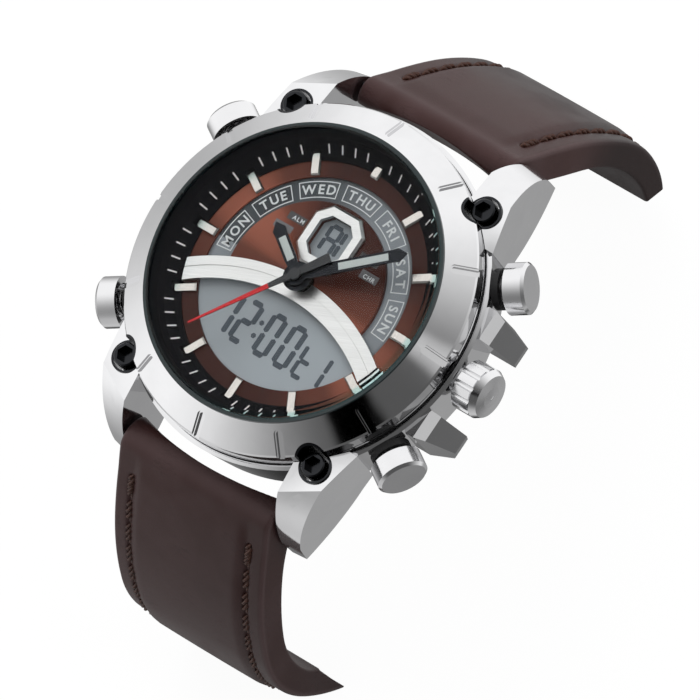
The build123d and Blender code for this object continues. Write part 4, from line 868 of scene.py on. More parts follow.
def crystal_glass(name):
    """Clear mineral glass that lets lamp light through to the dial, with a painted teal glint at its rim."""
    finish, tree, shader = start_material(name)
    radius, _, _ = round_place(tree)
    # Painted glint: the glass is tinted teal at its rim.
    rim = span(tree, radius, 17.9 * MM, 18.4 * MM, smooth=True)
    feed(tree, blend_colours(tree, rim, WHITE, (0.40, 0.76, 0.76, 1.0)), shader["Base Color"])
    marks = marked(tree, 0.0, haze=0.02, scratches=0.0, scale=120.0)
    feed(tree, marks["Roughness"], shader["Roughness"])
    plain(shader, Transmission_Weight=1.0, IOR=1.12)
    mix_in(tree, add(tree, "ShaderNodeBsdfTransparent"), rays(tree, "Shadow", "Diffuse"))
    return finish


def display_grey(name, display):
    """Grey display under its polariser, a little cloudy, with painted shade towards its upper left, so it is lighter
    towards its right.
    """
    finish, tree, shader = start_material(name)
    x, y, _ = straight_place(tree)
    cloud = noise(tree, here(tree), 90.0, 2.0)
    # Painted shade where the arch shades the display: darker towards the upper left, lighter towards the lower
    # right.
    shade = span(tree, plus(tree, x, times(tree, y, -0.6)), -12 * MM, 12 * MM, 0.86, 1.10)
    tone = times(tree, shade, span(tree, cloud, 0.3, 0.7, 0.95, 1.05))
    base = scaled_colour(tree, display.glass[:3], tone)
    skin = noise(tree, here(tree), 2600.0, 2.0)
    surface(tree, shader, base, span(tree, cloud, 0.3, 0.7, 0.34, 0.42), skin, 0.05, 0.01)
    return finish


def day_ring_grey(name, dial):
    """Grey-blue ring behind the day boxes with a painted reflection, dark towards Monday and light towards the other
    end, and painted shade at its outer rim and a painted highlight at its inner edge.
    """
    finish, tree, shader = start_material(name)
    radius, angle, _ = round_place(tree)
    # Painted reflection: dark towards Monday and light towards Sunday.
    along = span(tree, angle, math.radians(55.0), math.radians(122.0), 1.0, 0.0, smooth=True)
    # Painted shade at the outer rim, and a painted highlight along the inner edge.
    rim = span(tree, radius, 12.9 * MM, 13.6 * MM, 1.0, 0.45, smooth=True)
    inner = span(tree, radius, 10.4 * MM, 11.0 * MM, 1.35, 1.0, smooth=True)
    tone = blend_colours(tree, along, dial.ring_dark_reflection, dial.ring_bright_reflection)
    cloud = noise(tree, here(tree), 900.0)
    base = scaled_colour(tree, tone, times(tree, rim, inner))
    surface(tree, shader, base, span(tree, cloud, 0.3, 0.7, 0.30, 0.40), cloud, 0.05, 0.01)
    return finish


def second_hand_lacquer(name):
    """Red lacquer outside the middle, black lacquer on the hub and the tail."""
    finish, tree, shader = start_material(name)
    x, y, _ = straight_place(tree)
    along = plus(tree, times(tree, x, math.cos(SECOND_ANGLE)), times(tree, y, math.sin(SECOND_ANGLE)))
    speck = noise(tree, here(tree), 3000.0)
    red = blend_colours(tree, span(tree, speck, 0.3, 0.7), (0.56, 0.002, 0.006, 1.0), (0.66, 0.004, 0.010, 1.0))
    base = blend_colours(tree, span(tree, along, *SECOND_RED), (0.012, 0.014, 0.017, 1.0), red)
    surface(tree, shader, base, span(tree, speck, 0.3, 0.7, 0.28, 0.36), speck, 0.05, 0.01)
    return finish


def dress(finish, *names):
    """Give a finish to every material slot of these CAD pieces."""
    for name in names:
        piece = NODES[name]
        if not piece.material_slots:
            piece.data.materials.append(finish)
        for slot in piece.material_slots:
            slot.material = finish


class WATCH_OT_case_finishes(bpy.types.Operator):
    """Polished and satin steel, crystal, rubber and screws of the case"""

    bl_idname = "watch.case_finishes"
    bl_label = "Finish the case"

    def execute(self, context):
        metal = context.scene.watch_metal
        steel, polish = tuple(metal.steel), metal.polish
        ends = [f"bar_tip_{side}_{end}" for side in STRAP_SIDES for end in ("right", "left")]
        pushers = ["pusher_" + number for number in PUSHERS]
        tubes = ("crown_tube", "pusher_tubes", "spring_bar_upper", "spring_bar_lower")
        seals = ("pusher_seals", "crown_seal", "case_back_seal", "bezel_seal")
        dress(polished_metal("case_polish", steel, polish), "mid_case")
        dress(polished_metal("bezel_polish", steel, polish * 0.8), "bezel")
        dress(polished_metal("crown_polish", steel, polish * 1.6, haze=0.10), "crown")
        dress(polished_metal("pusher_polish", steel, polish * 1.4, haze=0.08), *pushers)
        dress(polished_metal("black_screw", (0.030, 0.031, 0.034, 1.0), 0.16), "lug_screws")
        dress(turned_metal("case_back_brushed", deeper(steel, 0.85), 0.26), "case_back")
        dress(satin_metal("tube_steel", deeper(steel, 0.80), 0.28), *tubes)
        dress(satin_metal("pin_steel", deeper(steel, 0.75), 0.22, turn=(0, 0, 0.8)), *ends)
        dress(polished_metal("back_screw_steel", deeper(steel, 0.8), 0.20), "case_back_screws")
        dress(plastic("seal_rubber", (0.016, 0.016, 0.017, 1.0), 0.55), *seals)
        dress(plastic("crystal_gasket", (0.008, 0.022, 0.024, 1.0), 0.20), "crystal_seal")
        dress(crystal_glass("crystal_glass"), "crystal")
        return {"FINISHED"}


class WATCH_OT_springs(bpy.types.Operator):
    """Pusher springs, one piece each"""

    bl_idname = "watch.springs"
    bl_label = "Set the pusher springs"

    def execute(self, context):
        wire = satin_metal("spring_wire", deeper(context.scene.watch_metal.steel, 0.78), 0.25)
        for number, degrees in PUSHERS.items():
            outwards = Vector((*polar(1.0, math.radians(degrees)), 0.0))
            piece = linked("spring_" + number, NODES["pusher_springs"].data.copy())
            edit("VERT")
            choose("verts", lambda spot, _: spot.dot(outwards) < SPRING_REACH * PUSHER_TUBE_END)
            bpy.ops.mesh.delete(type="VERT")
            merge_doubles()
            done()
            finished(piece, "spring_" + number, "watch", "steel", wire)
            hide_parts("pusher_springs")
            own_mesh(piece)
        return {"FINISHED"}


class WATCH_OT_dial_finishes(bpy.types.Operator):
    """Lacquer, brushed trim, black ring, display and hands"""

    bl_idname = "watch.dial_finishes"
    bl_label = "Finish the dial"

    def execute(self, context):
        ring = plastic("minute_ring_black", (0.0022, 0.0022, 0.0034, 1.0), 0.50, relief=0.03, shine=0.05)
        trim = satin_metal("trim_brushed", (0.80, 0.81, 0.80, 1.0), 0.30, turn=(0, 0, 1.2), scale=9000.0, relief=0.5)
        dress(sunburst("dial_sunburst", context.scene.watch_dial), "dial", "inner_dial")
        dress(ring, "minute_ring")
        dress(trim, "arch_trim", "octagon_frame")
        dress(display_grey("display_grey", context.scene.watch_display), "lcd_panel")
        dress(polished_metal("hand_black", (0.022, 0.024, 0.028, 1.0), 0.30), "hour_hand", "minute_hand")
        dress(second_hand_lacquer("second_hand_lacquer"), "second_hand")
        return {"FINISHED"}


class WATCH_OT_movement_finishes(bpy.types.Operator):
    """Brass wheels, copper coil, board, plastic and battery inside"""

    bl_idname = "watch.movement_finishes"
    bl_label = "Finish the movement"

    def execute(self, context):
        brass = (0.62, 0.44, 0.18, 1.0)
        steel = (0.56, 0.57, 0.58, 1.0)
        through_wheels = ("seconds_wheel", "hour_wheel", "cannon_pinion")
        copper = satin_metal("coil_copper", (0.72, 0.29, 0.13, 1.0), 0.24, scale=24000.0, relief=0.8)
        dress(turned_metal("wheel_brass", brass, 0.26), "centre_wheel")
        # Above the display, the tubes under the hands are black.
        dress(turned_metal("wheel_brass_blackened", brass, 0.26, black_over=DISPLAY_Z), *through_wheels)
        dress(polished_metal("small_wheel_brass", brass, 0.28), "step_wheel", "third_wheel", "minute_wheel")
        dress(polished_metal("magnet", (0.16, 0.16, 0.17, 1.0), 0.35), "rotor")
        dress(satin_metal("stator_steel", steel, 0.32), "stator", "setting_slide", "winding_stem")
        dress(copper, "coil")
        dress(plastic("plate_plastic", (0.30, 0.30, 0.28, 1.0), 0.42), "main_plate")
        dress(turned_metal("bridge_steel", steel, 0.30), "train_bridge")
        dress(plastic("board_mask", (0.010, 0.105, 0.045, 1.0), 0.34, coat=0.4), "circuit_board")
        dress(plastic("chip_resin", (0.010, 0.010, 0.011, 1.0), 0.40), "driver_chip")
        dress(polished_metal("quartz_can_steel", (0.66, 0.65, 0.62, 1.0), 0.22), "quartz_can")
        dress(plastic("strip_rubber", (0.55, 0.40, 0.36, 1.0), 0.50), "connector_strips")
        dress(plastic("holder_plastic", (0.032, 0.032, 0.034, 1.0), 0.50), "movement_holder")
        dress(turned_metal("battery_steel", (0.66, 0.66, 0.66, 1.0), 0.24), "battery")
        dress(satin_metal("clip_steel", (0.64, 0.60, 0.50, 1.0), 0.30), "battery_clip", "pusher_contacts")
        dress(polished_metal("buzzer_brass", (0.66, 0.50, 0.24, 1.0), 0.30), "buzzer")
        return {"FINISHED"}


def arc_points(start, heading, bends):
    """Points along a chain of tangent arcs, with the heading and the run at each."""
    y, z = start
    run = 0.0
    points = [(y, z, math.radians(heading), 0.0)]
    for radius, turn in bends:
        side = math.copysign(radius, turn)
        arc = radius * math.radians(abs(turn))
        count = max(3, int(round(arc / ARC_STEP)))
        first = math.radians(heading)
        for i in range(1, count + 1):
            now = math.radians(heading + turn * i / count)
            ahead = side * (math.sin(now) - math.sin(first))
            aside = side * (math.cos(now) - math.cos(first))
            points.append((y + ahead, z - aside, now, run + arc * i / count))
        y, z = points[-1][:2]
        run += arc
        heading += turn
    return points


def at_run(points, run):
    """Place and heading at a run along the points."""
    for before, after in zip(points, points[1:]):
        if after[3] >= run:
            part = (run - before[3]) / max(after[3] - before[3], 1e-9)
            return tuple(a + (b - a) * part for a, b in zip(before, after))
    return points[-1]


def smoothed(value, low, high):
    value = min(1.0, max(0.0, (value - low) / (high - low)))
    return value * value * (3 - 2 * value)


def bell(value, middle, half):
    """1 in the middle and falling softly to 0 on both sides."""
    return math.exp(-(((value - middle) / half) ** 2))


class StrapShape:
    """One half of the strap, drawn at 12 o'clock and turned to its own side."""

    def __init__(self, side, settings):
        facts = STRAP_SIDES[side]
        self.turned = facts["turned"]
        self.start = facts["seam_start"]
        self.outer = arc_points(facts["nose"], 90, facts["outer"])
        self.inner = arc_points(facts["nose"], -90, facts["inner"])
        self.length = self.outer[-1][3]
        self.inner_length = self.inner[-1][3]
        self.seam = STRAP_HALF - settings.inset / MM
        self.pad = settings.pad / MM
        self.groove = settings.groove / MM

    def side_fall(self, x, rounding):
        """How far the leather falls in the rounded edge at its sides."""
        width, depth = rounding
        part = max(0.0, abs(x) - (STRAP_HALF - width)) / width
        return depth * (1 - math.sqrt(max(0.0, 1 - part * part)))

    def rise(self, x, run):
        """Height of the leather over the outer side line: padded middle, groove, border and rounded side."""
        across = abs(x)
        started = smoothed(run, self.start - PAD_BEGIN[0], self.start + PAD_BEGIN[1])
        padded = 1 - smoothed(across, self.seam - PAD_FALL[0], self.seam - PAD_FALL[1])
        crown = CROWN_RISE * (1 - (across / STRAP_HALF) ** 2)
        height = crown + started * (self.pad * padded - self.pad * PAD_SINK)
        on_row = smoothed(run, self.start - GROOVE_BEGIN, self.start)
        height -= on_row * self.groove * bell(across, self.seam, GROOVE_HALF)
        return height - self.side_fall(x, TOP_ROUND)

    def outside(self, x, run):
        return self.lifted(x, at_run(self.outer, run), self.rise(x, run) * smoothed(run, 0.0, TOP_NOSE_RUN))

    def inside(self, x, run):
        lift = self.side_fall(x, BACK_ROUND) * smoothed(run, 0.0, BACK_NOSE_RUN)
        return self.lifted(x, at_run(self.inner, run), lift)

    def lifted(self, x, spot, lift):
        """A point over its side line, kept outside the hollow that faces the case, on its own side."""
        y, z, heading, _ = spot
        y -= math.sin(heading) * lift
        z += math.cos(heading) * lift
        y = max(y, STRAP_END_Y - STRAP_END_R + math.sqrt(STRAP_END_R**2 - x * x))
        if self.turned:
            x, y = -x, -y
        return Vector((x * MM, y * MM, z * MM))

    def frame_at(self, x, run):
        """Place of the leather on a seam, with the directions across, along and outwards."""
        ahead, behind = self.outside(x, run + SEAM_STEP), self.outside(x, run - SEAM_STEP)
        along = (ahead - behind).normalized()
        across = Vector((-1.0 if self.turned else 1.0, 0.0, 0.0))
        return self.outside(x, run), (across, along, across.cross(along).normalized())


def strap_columns(seam):
    """Places across the strap, closer together at the seams and the sides."""
    spots = [0.0]
    while spots[-1] + COLUMN_STEP < seam - COLUMN_END:
        spots.append(spots[-1] + COLUMN_STEP)
    spots += [seam + step for step in SEAM_COLUMNS]
    spots += [STRAP_HALF - step for step in SIDE_COLUMNS]
    return [-x for x in reversed(spots[1:])] + spots


def leather_strap(side, settings):
    """The padded leather: a grid wrapped round the side view, with its own faces for top, sides and lining."""
    shape = StrapShape(side, settings)
    columns = strap_columns(shape.seam)
    painted_shade_start, painted_shade_end, painted_shade_depth, painted_shade_side = STRAP_SIDES[side]["painted_shade"]
    mesh = bpy.data.meshes.new("leather_" + side)
    work = bmesh.new()
    rubbed = work.verts.layers.float.new("rubbed")
    darkened = work.verts.layers.float.new("darkened")
    rows = []
    for i in range(STATIONS + 1):
        part = i / STATIONS
        part = part * (1 - STATION_BIAS) + STATION_BIAS * part * part
        run, back_run = shape.length * part, shape.inner_length * part
        top = [shape.outside(x, run) for x in columns]
        back = [shape.inside(x, back_run) for x in reversed(columns)]
        right = [top[-1].lerp(back[0], share) for share in WALL_SHARES]
        left = [back[-1].lerp(top[0], share) for share in WALL_SHARES]
        loop = [work.verts.new(spot) for spot in top + right + back + left]
        # Painted highlight on the shoulder where the strap bends, and a lighter band at the sides, partly scuffed
        # leather and partly painted highlight.
        for vert, x in zip(loop, columns):
            side_scuff_and_highlight = smoothed(abs(x), STRAP_HALF - SIDE_SCUFF_AND_HIGHLIGHT[0], STRAP_HALF - SIDE_SCUFF_AND_HIGHLIGHT[1])
            vert[rubbed] = max(SHOULDER_HIGHLIGHT * bell(run, SHOULDER_HIGHLIGHT_RUN, SHOULDER_HIGHLIGHT_HALF), side_scuff_and_highlight)
        # Painted shade, growing along the strap where it turns away from the light, and across it towards the right.
        for vert in loop:
            across = 1 + vert.co.x / MM / STRAP_HALF
            vert[darkened] = min(1.0, painted_shade_depth * smoothed(run, painted_shade_start, painted_shade_end) + painted_shade_side * across)
        rows.append(loop)
    count = len(rows[0])
    last_top = len(columns) - 1
    first_back = len(columns) + len(WALL_SHARES)
    last_back = first_back + len(columns) - 1
    for before, after in zip(rows, rows[1:]):
        for j in range(count):
            k = (j + 1) % count
            face = work.faces.new((before[j], before[k], after[k], after[j]))
            face.smooth = True
            if j < last_top:
                face.material_index = TOP_FACE
            elif first_back <= j < last_back:
                face.material_index = LINING_FACE
            else:
                face.material_index = EDGE_FACE
    end = work.faces.new(list(reversed(rows[-1])))
    end.material_index = EDGE_FACE
    bmesh.ops.remove_doubles(work, verts=work.verts, dist=GRID_MERGE)
    bmesh.ops.triangulate(work, faces=[face for face in work.faces if len(face.verts) > 4])
    bmesh.ops.recalc_face_normals(work, faces=work.faces)
    work.to_mesh(mesh)
    work.free()
    piece = linked("leather_" + side, mesh)
    bpy.ops.object.shade_smooth_by_angle(angle=SHARP_EDGE)
    return piece


class WATCH_OT_straps(bpy.types.Operator):
    """Padded leather straps in place of the plain ones"""

    bl_idname = "watch.straps"
    bl_label = "Make the leather straps"

    def execute(self, context):
        settings = context.scene.watch_leather
        top = leather("strap_leather", settings.tone, settings.worn_and_highlighted, settings.gloss)
        edge = plastic("strap_edge_paint", settings.edge, 0.34, scale=900.0, relief=0.2, shine=0.25)
        lining = leather("strap_lining", settings.lining, settings.worn_and_highlighted, 0.55, creases=1.0, wear_and_highlight=0.3)
        for side in STRAP_SIDES:
            piece = leather_strap(side, settings)
            finished(piece, "leather_" + side, side + "_strap", "brown_leather", top, edge, lining)
            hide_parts("strap_" + side)
        return {"FINISHED"}


def model_stitch(settings):
    """One stitch of two plies twisted together, lying along Y, whose ends dip into the leather."""
    clear()
    bpy.ops.mesh.primitive_circle_add(
        vertices=8,
        radius=settings.ply,
        fill_type="NOTHING",
        location=(settings.ply * PLY_APART, 0, 0),
        rotation=(math.pi / 2, 0, 0),
    )
    ply = bpy.context.object
    settle()
    half = settings.stitch / 2
    modified(
        ply,
        "SCREW",
        axis="Y",
        angle=math.tau * STITCH_TURNS,
        screw_offset=settings.stitch,
        steps=STITCH_STEPS,
        render_steps=STITCH_STEPS,
        use_merge_vertices=False,
    )
    edit("VERT")
    choose_all()
    bpy.ops.mesh.fill_holes(sides=0)
    face_outwards()
    done()
    ply.data.transform(Matrix.Translation((0, -half, 0)))
    twin = copy_of(ply)
    twin.data.transform(Matrix.Rotation(math.pi, 4, "Y"))
    stitch = joined([ply, twin])
    for vert in stitch.data.vertices:
        out = min(1.0, abs(vert.co.y) / half)
        vert.co.x *= 1 - STITCH_NARROW * out**4
        vert.co.z = vert.co.z * (1 - STITCH_FLATTEN * out**4) - settings.ply * STITCH_DIP * out**5
    stitch.data.update()
    pick(stitch)
    bpy.ops.object.shade_smooth()
    return stitch


class WATCH_OT_stitching(bpy.types.Operator):
    """Two rows of twisted thread on each strap"""

    bl_idname = "watch.stitching"
    bl_label = "Sew the straps"

    def execute(self, context):
        settings = context.scene.watch_leather
        finish = waxed_thread("waxed_thread", settings.thread)
        stitch = model_stitch(settings)
        pitch = (settings.stitch + settings.gap) / MM
        for side in STRAP_SIDES:
            shape = StrapShape(side, settings)
            run = shape.start + pitch / 2 - ROW_EARLY
            spots = [(run + BACK_STITCH[0], BACK_STITCH[1])]
            while run + pitch / 2 < shape.length - ROW_END:
                spots.append((run, 0.0))
                run += pitch
            row = []
            for end in (-1, 1):
                for run, lift in spots:
                    spot, axes = shape.frame_at(end * shape.seam, run)
                    spot += axes[2] * (settings.ply * STITCH_HEIGHT + lift * MM)
                    sewn = copy_of(stitch)
                    sewn.data.transform(Matrix.Translation(spot) @ Matrix(axes).transposed().to_4x4())
                    row.append(sewn)
            finished(joined(row), "thread_" + side, side + "_strap", "brown_leather", finish)
        bpy.data.objects.remove(stitch)
        return {"FINISHED"}


def sector(radii, start, end, level, steps):
    """A flat piece of a ring: one edge along a radius, spun round the watch's axis."""
    clear()
    bpy.ops.mesh.primitive_plane_add(size=1.0)
    piece = bpy.context.object
    edit("VERT")
    choose("verts", lambda spot, _: spot.y > 0)
    bpy.ops.mesh.delete(type="VERT")
    done()
    for vert, radius in zip(sorted(piece.data.vertices, key=lambda vert: vert.co.x), radii):
        vert.co = Vector((*polar(radius, start), level))
    piece.data.update()
    edit("EDGE")
    choose_all()
    bpy.ops.mesh.spin(
        steps=steps, angle=end - start, center=(0, 0, level), axis=(0, 0, -1), use_auto_merge=False
    )
    merge_doubles()
    bpy.ops.mesh.normals_make_consistent(inside=False)
    done()
    if piece.data.polygons[0].normal.z < 0:
        piece.data.flip_normals()
    return piece


def cut_letter(letter, height, weight):
    """One capital letter as a thin mesh of a given height, about the middle of its own outline, and its width."""
    clear()
    bpy.ops.object.text_add()
    piece = bpy.context.object
    piece.data.body = letter
    piece.data.size = 1.0
    piece.data.offset = weight
    piece.data.resolution_u = LETTER_CURVE
    piece.data.extrude = LETTER_DEPTH
    bpy.ops.object.convert(target="MESH")
    piece = bpy.context.object
    left, low, _ = (min(reach) for reach in zip(*piece.bound_box))
    right, high, _ = (max(reach) for reach in zip(*piece.bound_box))
    scale = height / (high - low)
    to_middle = Matrix.Translation((-(left + right) / 2, -(low + high) / 2, 0))
    piece.data.transform(Matrix.Scale(scale, 4) @ to_middle)
    return piece, (right - left) * scale


def cut_word(word, height, gap, weight):
    """The letters of a word, evenly spaced, each with its distance from the word's middle."""
    cut = [cut_letter(letter, height, weight) for letter in word]
    along = -(sum(wide for _, wide in cut) + gap * (len(cut) - 1)) / 2
    spaced = []
    for piece, wide in cut:
        spaced.append((piece, along + wide / 2))
        along += wide + gap
    return spaced


class WATCH_OT_day_ring(bpy.types.Operator):
    """Day ring with seven framed names"""

    bl_idname = "watch.day_ring"
    bl_label = "Print the day ring"

    def execute(self, context):
        dial = context.scene.watch_dial
        sector(RING_RADII, *RING_ENDS, DISPLAY_Z, RING_STEPS)
        plate = thickened(RING_THICK)
        finished(plate, "day_ring", "watch", "lcd", day_ring_grey("day_ring_grey", dial))
        top = DISPLAY_Z + RING_THICK + BOX_LIFT
        frames, words = [], []
        for number, day in enumerate(DAYS):
            middle = DAY_FIRST + number * DAY_STEP
            box = sector(BOX_RADII, middle - DAY_WIDTH / 2, middle + DAY_WIDTH / 2, top, BOX_STEPS)
            edit()
            choose_all()
            bpy.ops.mesh.inset(thickness=dial.line, use_boundary=True)
            if day == CHOSEN_DAY:
                bpy.ops.mesh.separate(type="SELECTED")
                done()
                fill = next(piece for piece in bpy.context.selected_objects if piece is not box)
            else:
                bpy.ops.mesh.delete(type="FACE")
                done()
            frames.append(modified(box, "SOLIDIFY", thickness=FRAME_THICK, offset=1.0))
            for letter, along in cut_word(day, dial.letter, NAME_GAP, NAME_WEIGHT):
                angle = middle - along / NAME_RADIUS
                x, y = polar(NAME_RADIUS, angle)
                words.append(place(letter, x, y, top + FRAME_THICK, angle - math.pi / 2))
        finished(joined(frames), "day_frames", "watch", "lcd", printed("day_print", dial.print_tone))
        finished(joined(words), "day_names", "watch", "lcd", printed("day_letter_print", dial.print_tone))
        modified(fill, "SOLIDIFY", thickness=FILL_THICK, offset=1.0)
        finished(fill, "chosen_day", "watch", "lcd", plastic("chosen_day_dark", dial.chosen, 0.30))
        return {"FINISHED"}


def glyph_bar(run, width):
    """One bar of a display figure: a six-cornered plate with pointed ends, along X."""
    clear()
    radius = width / math.sqrt(3)
    bpy.ops.mesh.primitive_circle_add(
        vertices=6, radius=radius, fill_type="NGON", rotation=(0, 0, math.pi / 2)
    )
    piece = bpy.context.object
    settle()
    for vert in piece.data.vertices:
        vert.co.x += math.copysign(run / 2 - radius, vert.co.x)
    return thickened(BAR_THICK)


class WATCH_OT_display(bpy.types.Operator):
    """Figures of the display and of the small window"""

    bl_idname = "watch.display"
    bl_label = "Light the display"

    def execute(self, context):
        bars = []
        for name, x, y, width, height, thick in GLYPHS:
            for bar in GLYPH_BARS[name]:
                across, up, upright = BAR_SHARES[bar]
                run = (height / 2 if upright else width) - BAR_GAP * thick
                spot = ((x + across * width / 2) * MM, (y + up * height / 2) * MM, FIGURES_Z)
                bars.append(place(glyph_bar(run * MM, thick * MM), *spot, math.pi / 2 if upright else 0.0))
        for x, y in COLON:
            dot = glyph_bar(*(side * MM for side in COLON_DOT))
            bars.append(place(dot, x * MM, y * MM, FIGURES_Z))
        finish = printed("display_segment", context.scene.watch_display.segment, 0.4)
        finished(joined(bars), "display_figures", "watch", "lcd", finish)
        return {"FINISHED"}


def thin_plate(low, high, level, thick):
    """A flat plate with softened edges between two corners in millimetres, its underside at a level."""
    sides = [(b - a) * MM for a, b in zip(low, high)]
    middle = [(a + b) / 2 * MM for a, b in zip(low, high)]
    block((*sides, thick), (*middle, level + thick / 2))
    edit("EDGE")
    choose_all()
    chamfer(thick / 4)
    return done()


class WATCH_OT_labels(bpy.types.Operator):
    """Small label plates with their words beside the window, on a ground of the dial's lacquer"""

    bl_idname = "watch.labels"
    bl_label = "Print the labels"

    def execute(self, context):
        dial = context.scene.watch_dial
        grounds, words = [], []
        for side in (-1, 1):
            left, right = sorted(side * edge for edge in GROUND_ACROSS)
            low, high = GROUND_UP
            grounds.append(thin_plate((left, low), (right, high), INNER_DIAL_Z, GROUND_THICK))
        finished(joined(grounds), "label_ground", "watch", "brown_dial", sunburst("label_sunburst", dial))
        for name, low, high, grey, word, middle, height in LABELS:
            plate = thin_plate(low, high, INNER_DIAL_Z + LABEL_LIFT, LABEL_THICK)
            finish = printed("label_grey_" + name, (grey, grey, grey * LABEL_BLUE, 1.0), 0.4)
            finished(plate, "label_" + name, "watch", "lcd", finish)
            for letter, along in cut_word(word, height * MM, LABEL_GAP, LABEL_WEIGHT):
                spot = (middle[0] * MM + along, middle[1] * MM, INNER_DIAL_Z + WORD_LIFT)
                words.append(place(letter, *spot))
        finished(joined(words), "label_words", "watch", "lcd", printed("label_print", dial.print_tone))
        return {"FINISHED"}


def marker_bar(inner):
    """An hour marker along X from a radius to the minute ring, with a broad chamfer round its top."""
    low, high = (corner.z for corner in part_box("hour_markers"))
    block((MARKER_OUT - inner, MARKER_WIDE, high - low), ((MARKER_OUT + inner) / 2, 0, (low + high) / 2))
    edit("EDGE")
    choose("edges", lambda spot, _: spot.x > MARKER_OUT - 0.01 * MM and abs(spot.y) > 0.4 * MARKER_WIDE)
    chamfer(MARKER_CORNER)
    choose("faces", lambda _, normal: normal.z > LEVEL_FACE)
    chamfer(MARKER_CHAMFER)
    return done()


class WATCH_OT_markers(bpy.types.Operator):
    """Twelve square-ended hour markers in place of the tapered ones"""

    bl_idname = "watch.markers"
    bl_label = "Set the hour markers"

    def execute(self, context):
        bars = []
        for hour in range(12):
            bar = marker_bar(MARKER_NOON_IN if hour == NOON else MARKER_IN)
            bars.append(place(bar, turn=math.tau * hour / 12))
        finish = satin_metal("marker_satin", (0.70, 0.67, 0.63, 1.0), 0.20, scale=12000.0, relief=0.2)
        piece = finished(joined(bars), "markers", "watch", "polished_steel", finish)
        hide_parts("hour_markers")
        return {"FINISHED"}


class WATCH_OT_minute_track(bpy.types.Operator):
    """White minute ticks on the sloping ring"""

    bl_idname = "watch.minute_track"
    bl_label = "Print the minute track"

    def execute(self, context):
        run, middle = TICK_OUT - TICK_IN, (TICK_IN + TICK_OUT) / 2
        slope = math.atan2(run.z, run.x)
        tick = block((context.scene.watch_dial.tick, run.length, TICK_THICK))
        edit("EDGE")
        choose_all()
        chamfer(TICK_SOFT)
        done()
        row = []
        for minute in range(60):
            if minute % 5:
                angle = math.tau * minute / 60
                x, y = polar(middle.x, angle)
                row.append(place(copy_of(tick), x, y, middle.z + TICK_LIFT, angle - math.pi / 2, slope))
        finished(joined(row), "minute_ticks", "watch", "black_ring", printed("tick_print", (0.95, 0.95, 0.94, 1.0)))
        bpy.data.objects.remove(tick)
        return {"FINISHED"}


def lume_inlay(start, end, top):
    """Luminous paint in a hand's window, a little domed, drawn along X, with its edge at the hand's top."""
    block((end - start, 2 * LUME_HALF, LUME_THICK), ((start + end) / 2, 0, top - LUME_THICK / 2))
    edit()
    choose("faces", lambda _, normal: normal.z > LEVEL_FACE)
    for inset, rise in LUME_DOME:
        bpy.ops.mesh.inset(thickness=inset)
        bpy.ops.transform.translate(value=(0, 0, rise))
    return done()


class WATCH_OT_lume(bpy.types.Operator):
    """Luminous paint in the hour and minute hands"""

    bl_idname = "watch.lume"
    bl_label = "Paint the hands"

    def execute(self, context):
        finish = printed("luminous_paint", context.scene.watch_dial.lume, 0.6)
        for name, body, hand, (start, end), top, angle in LUME:
            piece = lume_inlay(hand * start * MM, hand * end * MM, top)
            finished(place(piece, turn=angle), name, body, "dark_hand", finish)
        return {"FINISHED"}


def light_tent(brightness):
    """A white light tent round the watch, seen by metal and glass only, with soft dark places on its sides."""
    clear()
    bpy.ops.mesh.primitive_ico_sphere_add(subdivisions=4, radius=TENT_RADIUS)
    piece = bpy.context.object
    piece.name = "light_tent"
    finish = bpy.data.materials.new("tent_cloth")
    finish.use_nodes = True
    finish.cycles.emission_sampling = "NONE"
    tree = finish.node_tree
    tree.nodes.clear()
    heading = fed(tree, add(tree, "ShaderNodeVectorMath", operation="NORMALIZE"), Vector=here(tree))["Vector"]
    level = brightness
    for azimuth, height, inner, outer, depth in TENT_SHADES:
        beside, up = polar(1.0, math.radians(height))
        towards = Vector((*polar(beside, math.radians(azimuth)), up))
        dot = add(tree, "ShaderNodeVectorMath", operation="DOT_PRODUCT")
        feed(tree, heading, dot.inputs[0])
        feed(tree, towards, dot.inputs[1])
        away = maths(tree, "ARCCOSINE", dot.outputs["Value"])
        shade = span(tree, away, math.radians(inner), math.radians(outer), depth, 0.0, smooth=True)
        level = minus(tree, level, shade)
    glow = add(tree, "ShaderNodeEmission")
    feed(tree, maths(tree, "MAXIMUM", level, 0.0), glow.inputs["Strength"])
    tree.links.new(glow.outputs[0], add(tree, "ShaderNodeOutputMaterial").inputs[0])
    piece.data.materials.append(finish)
    piece.visible_camera = False
    piece.visible_diffuse = False
    piece.visible_shadow = False


def white_floor(shadow):
    """A floor that looks white from the camera and through glass, keeps a share of its shading, and is hidden from
    reflections.
    """
    clear()
    bpy.ops.mesh.primitive_plane_add(size=FLOOR_SIZE, location=(0, 0, FLOOR_Z))
    floor = bpy.context.object
    floor.name = "floor"
    finish, tree, shader = start_material("floor_white")
    plain(shader, Base_Color=FLOOR_TONE, Roughness=FLOOR_ROUGHNESS)
    glow = add(tree, "ShaderNodeEmission")
    glow.inputs["Strength"].default_value = FLOOR_GLOW
    mix_in(tree, glow, times(tree, rays(tree, "Camera", "Glossy", "Transmission"), 1.0 - shadow))
    floor.data.materials.append(finish)
    floor.visible_glossy = False


def white_room(strength):
    """A world that lights at its strength and looks white from the camera and in reflections."""
    world = bpy.data.worlds.new("white_room")
    world.use_nodes = True
    tree = world.node_tree
    tree.nodes.clear()
    seen = rays(tree, "Camera", "Glossy", "Transmission")
    air = add(tree, "ShaderNodeBackground")
    sky = fed(tree, air, Color=WHITE, Strength=span(tree, seen, 0.0, 1.0, strength, 1.0))[0]
    tree.links.new(sky, add(tree, "ShaderNodeOutputWorld").inputs[0])
    return world


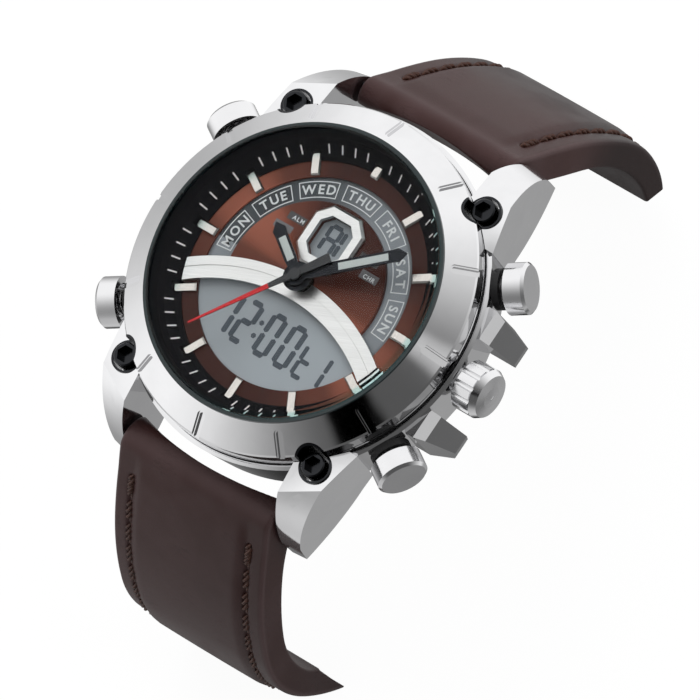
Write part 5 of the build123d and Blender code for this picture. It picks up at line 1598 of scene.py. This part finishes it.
def lamp(name, spot, size, watts):
    """A rectangular lamp that shines at the watch."""
    light = bpy.data.lights.new(name, "AREA")
    light.shape = "RECTANGLE"
    light.size, light.size_y = size
    light.energy = watts
    piece = linked(name, light)
    piece.visible_glossy = False
    turned = (-Vector(spot)).to_track_quat("-Z", "Y").to_matrix().to_4x4()
    piece.matrix_world = Matrix.Translation(spot) @ turned


def photo_camera():
    """The camera that stands where the photograph's did."""
    up = VIEW_TOWARDS.cross(VIEW_RIGHT).normalized()
    towards = VIEW_TOWARDS.normalized()
    right = up.cross(towards).normalized()
    target = right * VIEW_AIM[0] + up * VIEW_AIM[1] + Vector((0, 0, VIEW_LEVEL))
    camera = bpy.data.cameras.new("camera")
    camera.sensor_width = VIEW_SENSOR
    camera.lens = VIEW_LENS
    camera.clip_end = VIEW_CLIP
    view = linked("camera", camera)
    turned = Matrix((right, up, towards)).transposed().to_4x4()
    view.matrix_world = Matrix.Translation(target + towards * VIEW_DISTANCE) @ turned
    return view


class WATCH_OT_stage(bpy.types.Operator):
    """White room, soft lamps, light tent and the camera"""

    bl_idname = "watch.stage"
    bl_label = "Set the stage"

    def execute(self, context):
        stage = context.scene.watch_stage
        white_floor(stage.shadow)
        context.scene.world = white_room(stage.world)
        lamp("key_lamp", (-0.45, 0.55, 0.75), (0.7, 0.7), stage.key)
        lamp("rim_lamp", (0.65, 0.25, 0.45), (0.35, 0.5), stage.rim)
        light_tent(stage.tent)
        context.scene.camera = photo_camera()
        context.scene.view_settings.view_transform = "Standard"
        return {"FINISHED"}


OPERATORS = (
    WATCH_OT_case_finishes,
    WATCH_OT_springs,
    WATCH_OT_dial_finishes,
    WATCH_OT_movement_finishes,
    WATCH_OT_straps,
    WATCH_OT_stitching,
    WATCH_OT_day_ring,
    WATCH_OT_display,
    WATCH_OT_labels,
    WATCH_OT_markers,
    WATCH_OT_minute_track,
    WATCH_OT_lume,
    WATCH_OT_stage,
)


class WATCH_PT_panel(bpy.types.Panel):
    """Steps and settings of the watch"""

    bl_idname = "WATCH_PT_panel"
    bl_label = "Watch"
    bl_space_type = "VIEW_3D"
    bl_region_type = "UI"
    bl_category = "Watch"

    def draw(self, context):
        for step in OPERATORS:
            self.layout.operator(step.bl_idname)
        for name, kind in SETTINGS.items():
            box = self.layout.box()
            for entry in kind.__annotations__:
                box.prop(getattr(context.scene, name), entry)


def register():
    for kind in SETTINGS.values():
        bpy.utils.register_class(kind)
    for kind in OPERATORS + (WATCH_PT_panel,):
        bpy.utils.register_class(kind)
    for name, kind in SETTINGS.items():
        setattr(bpy.types.Scene, name, bpy.props.PointerProperty(type=kind))


def unregister():
    for name in SETTINGS:
        delattr(bpy.types.Scene, name)
    for kind in (WATCH_PT_panel,) + OPERATORS[::-1]:
        bpy.utils.unregister_class(kind)
    for kind in reversed(list(SETTINGS.values())):
        bpy.utils.unregister_class(kind)


def main():
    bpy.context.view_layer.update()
    register()
    for step in OPERATORS:
        area, name = step.bl_idname.split(".")
        getattr(getattr(bpy.ops, area), name)()


if __name__ == "__main__":
    main()
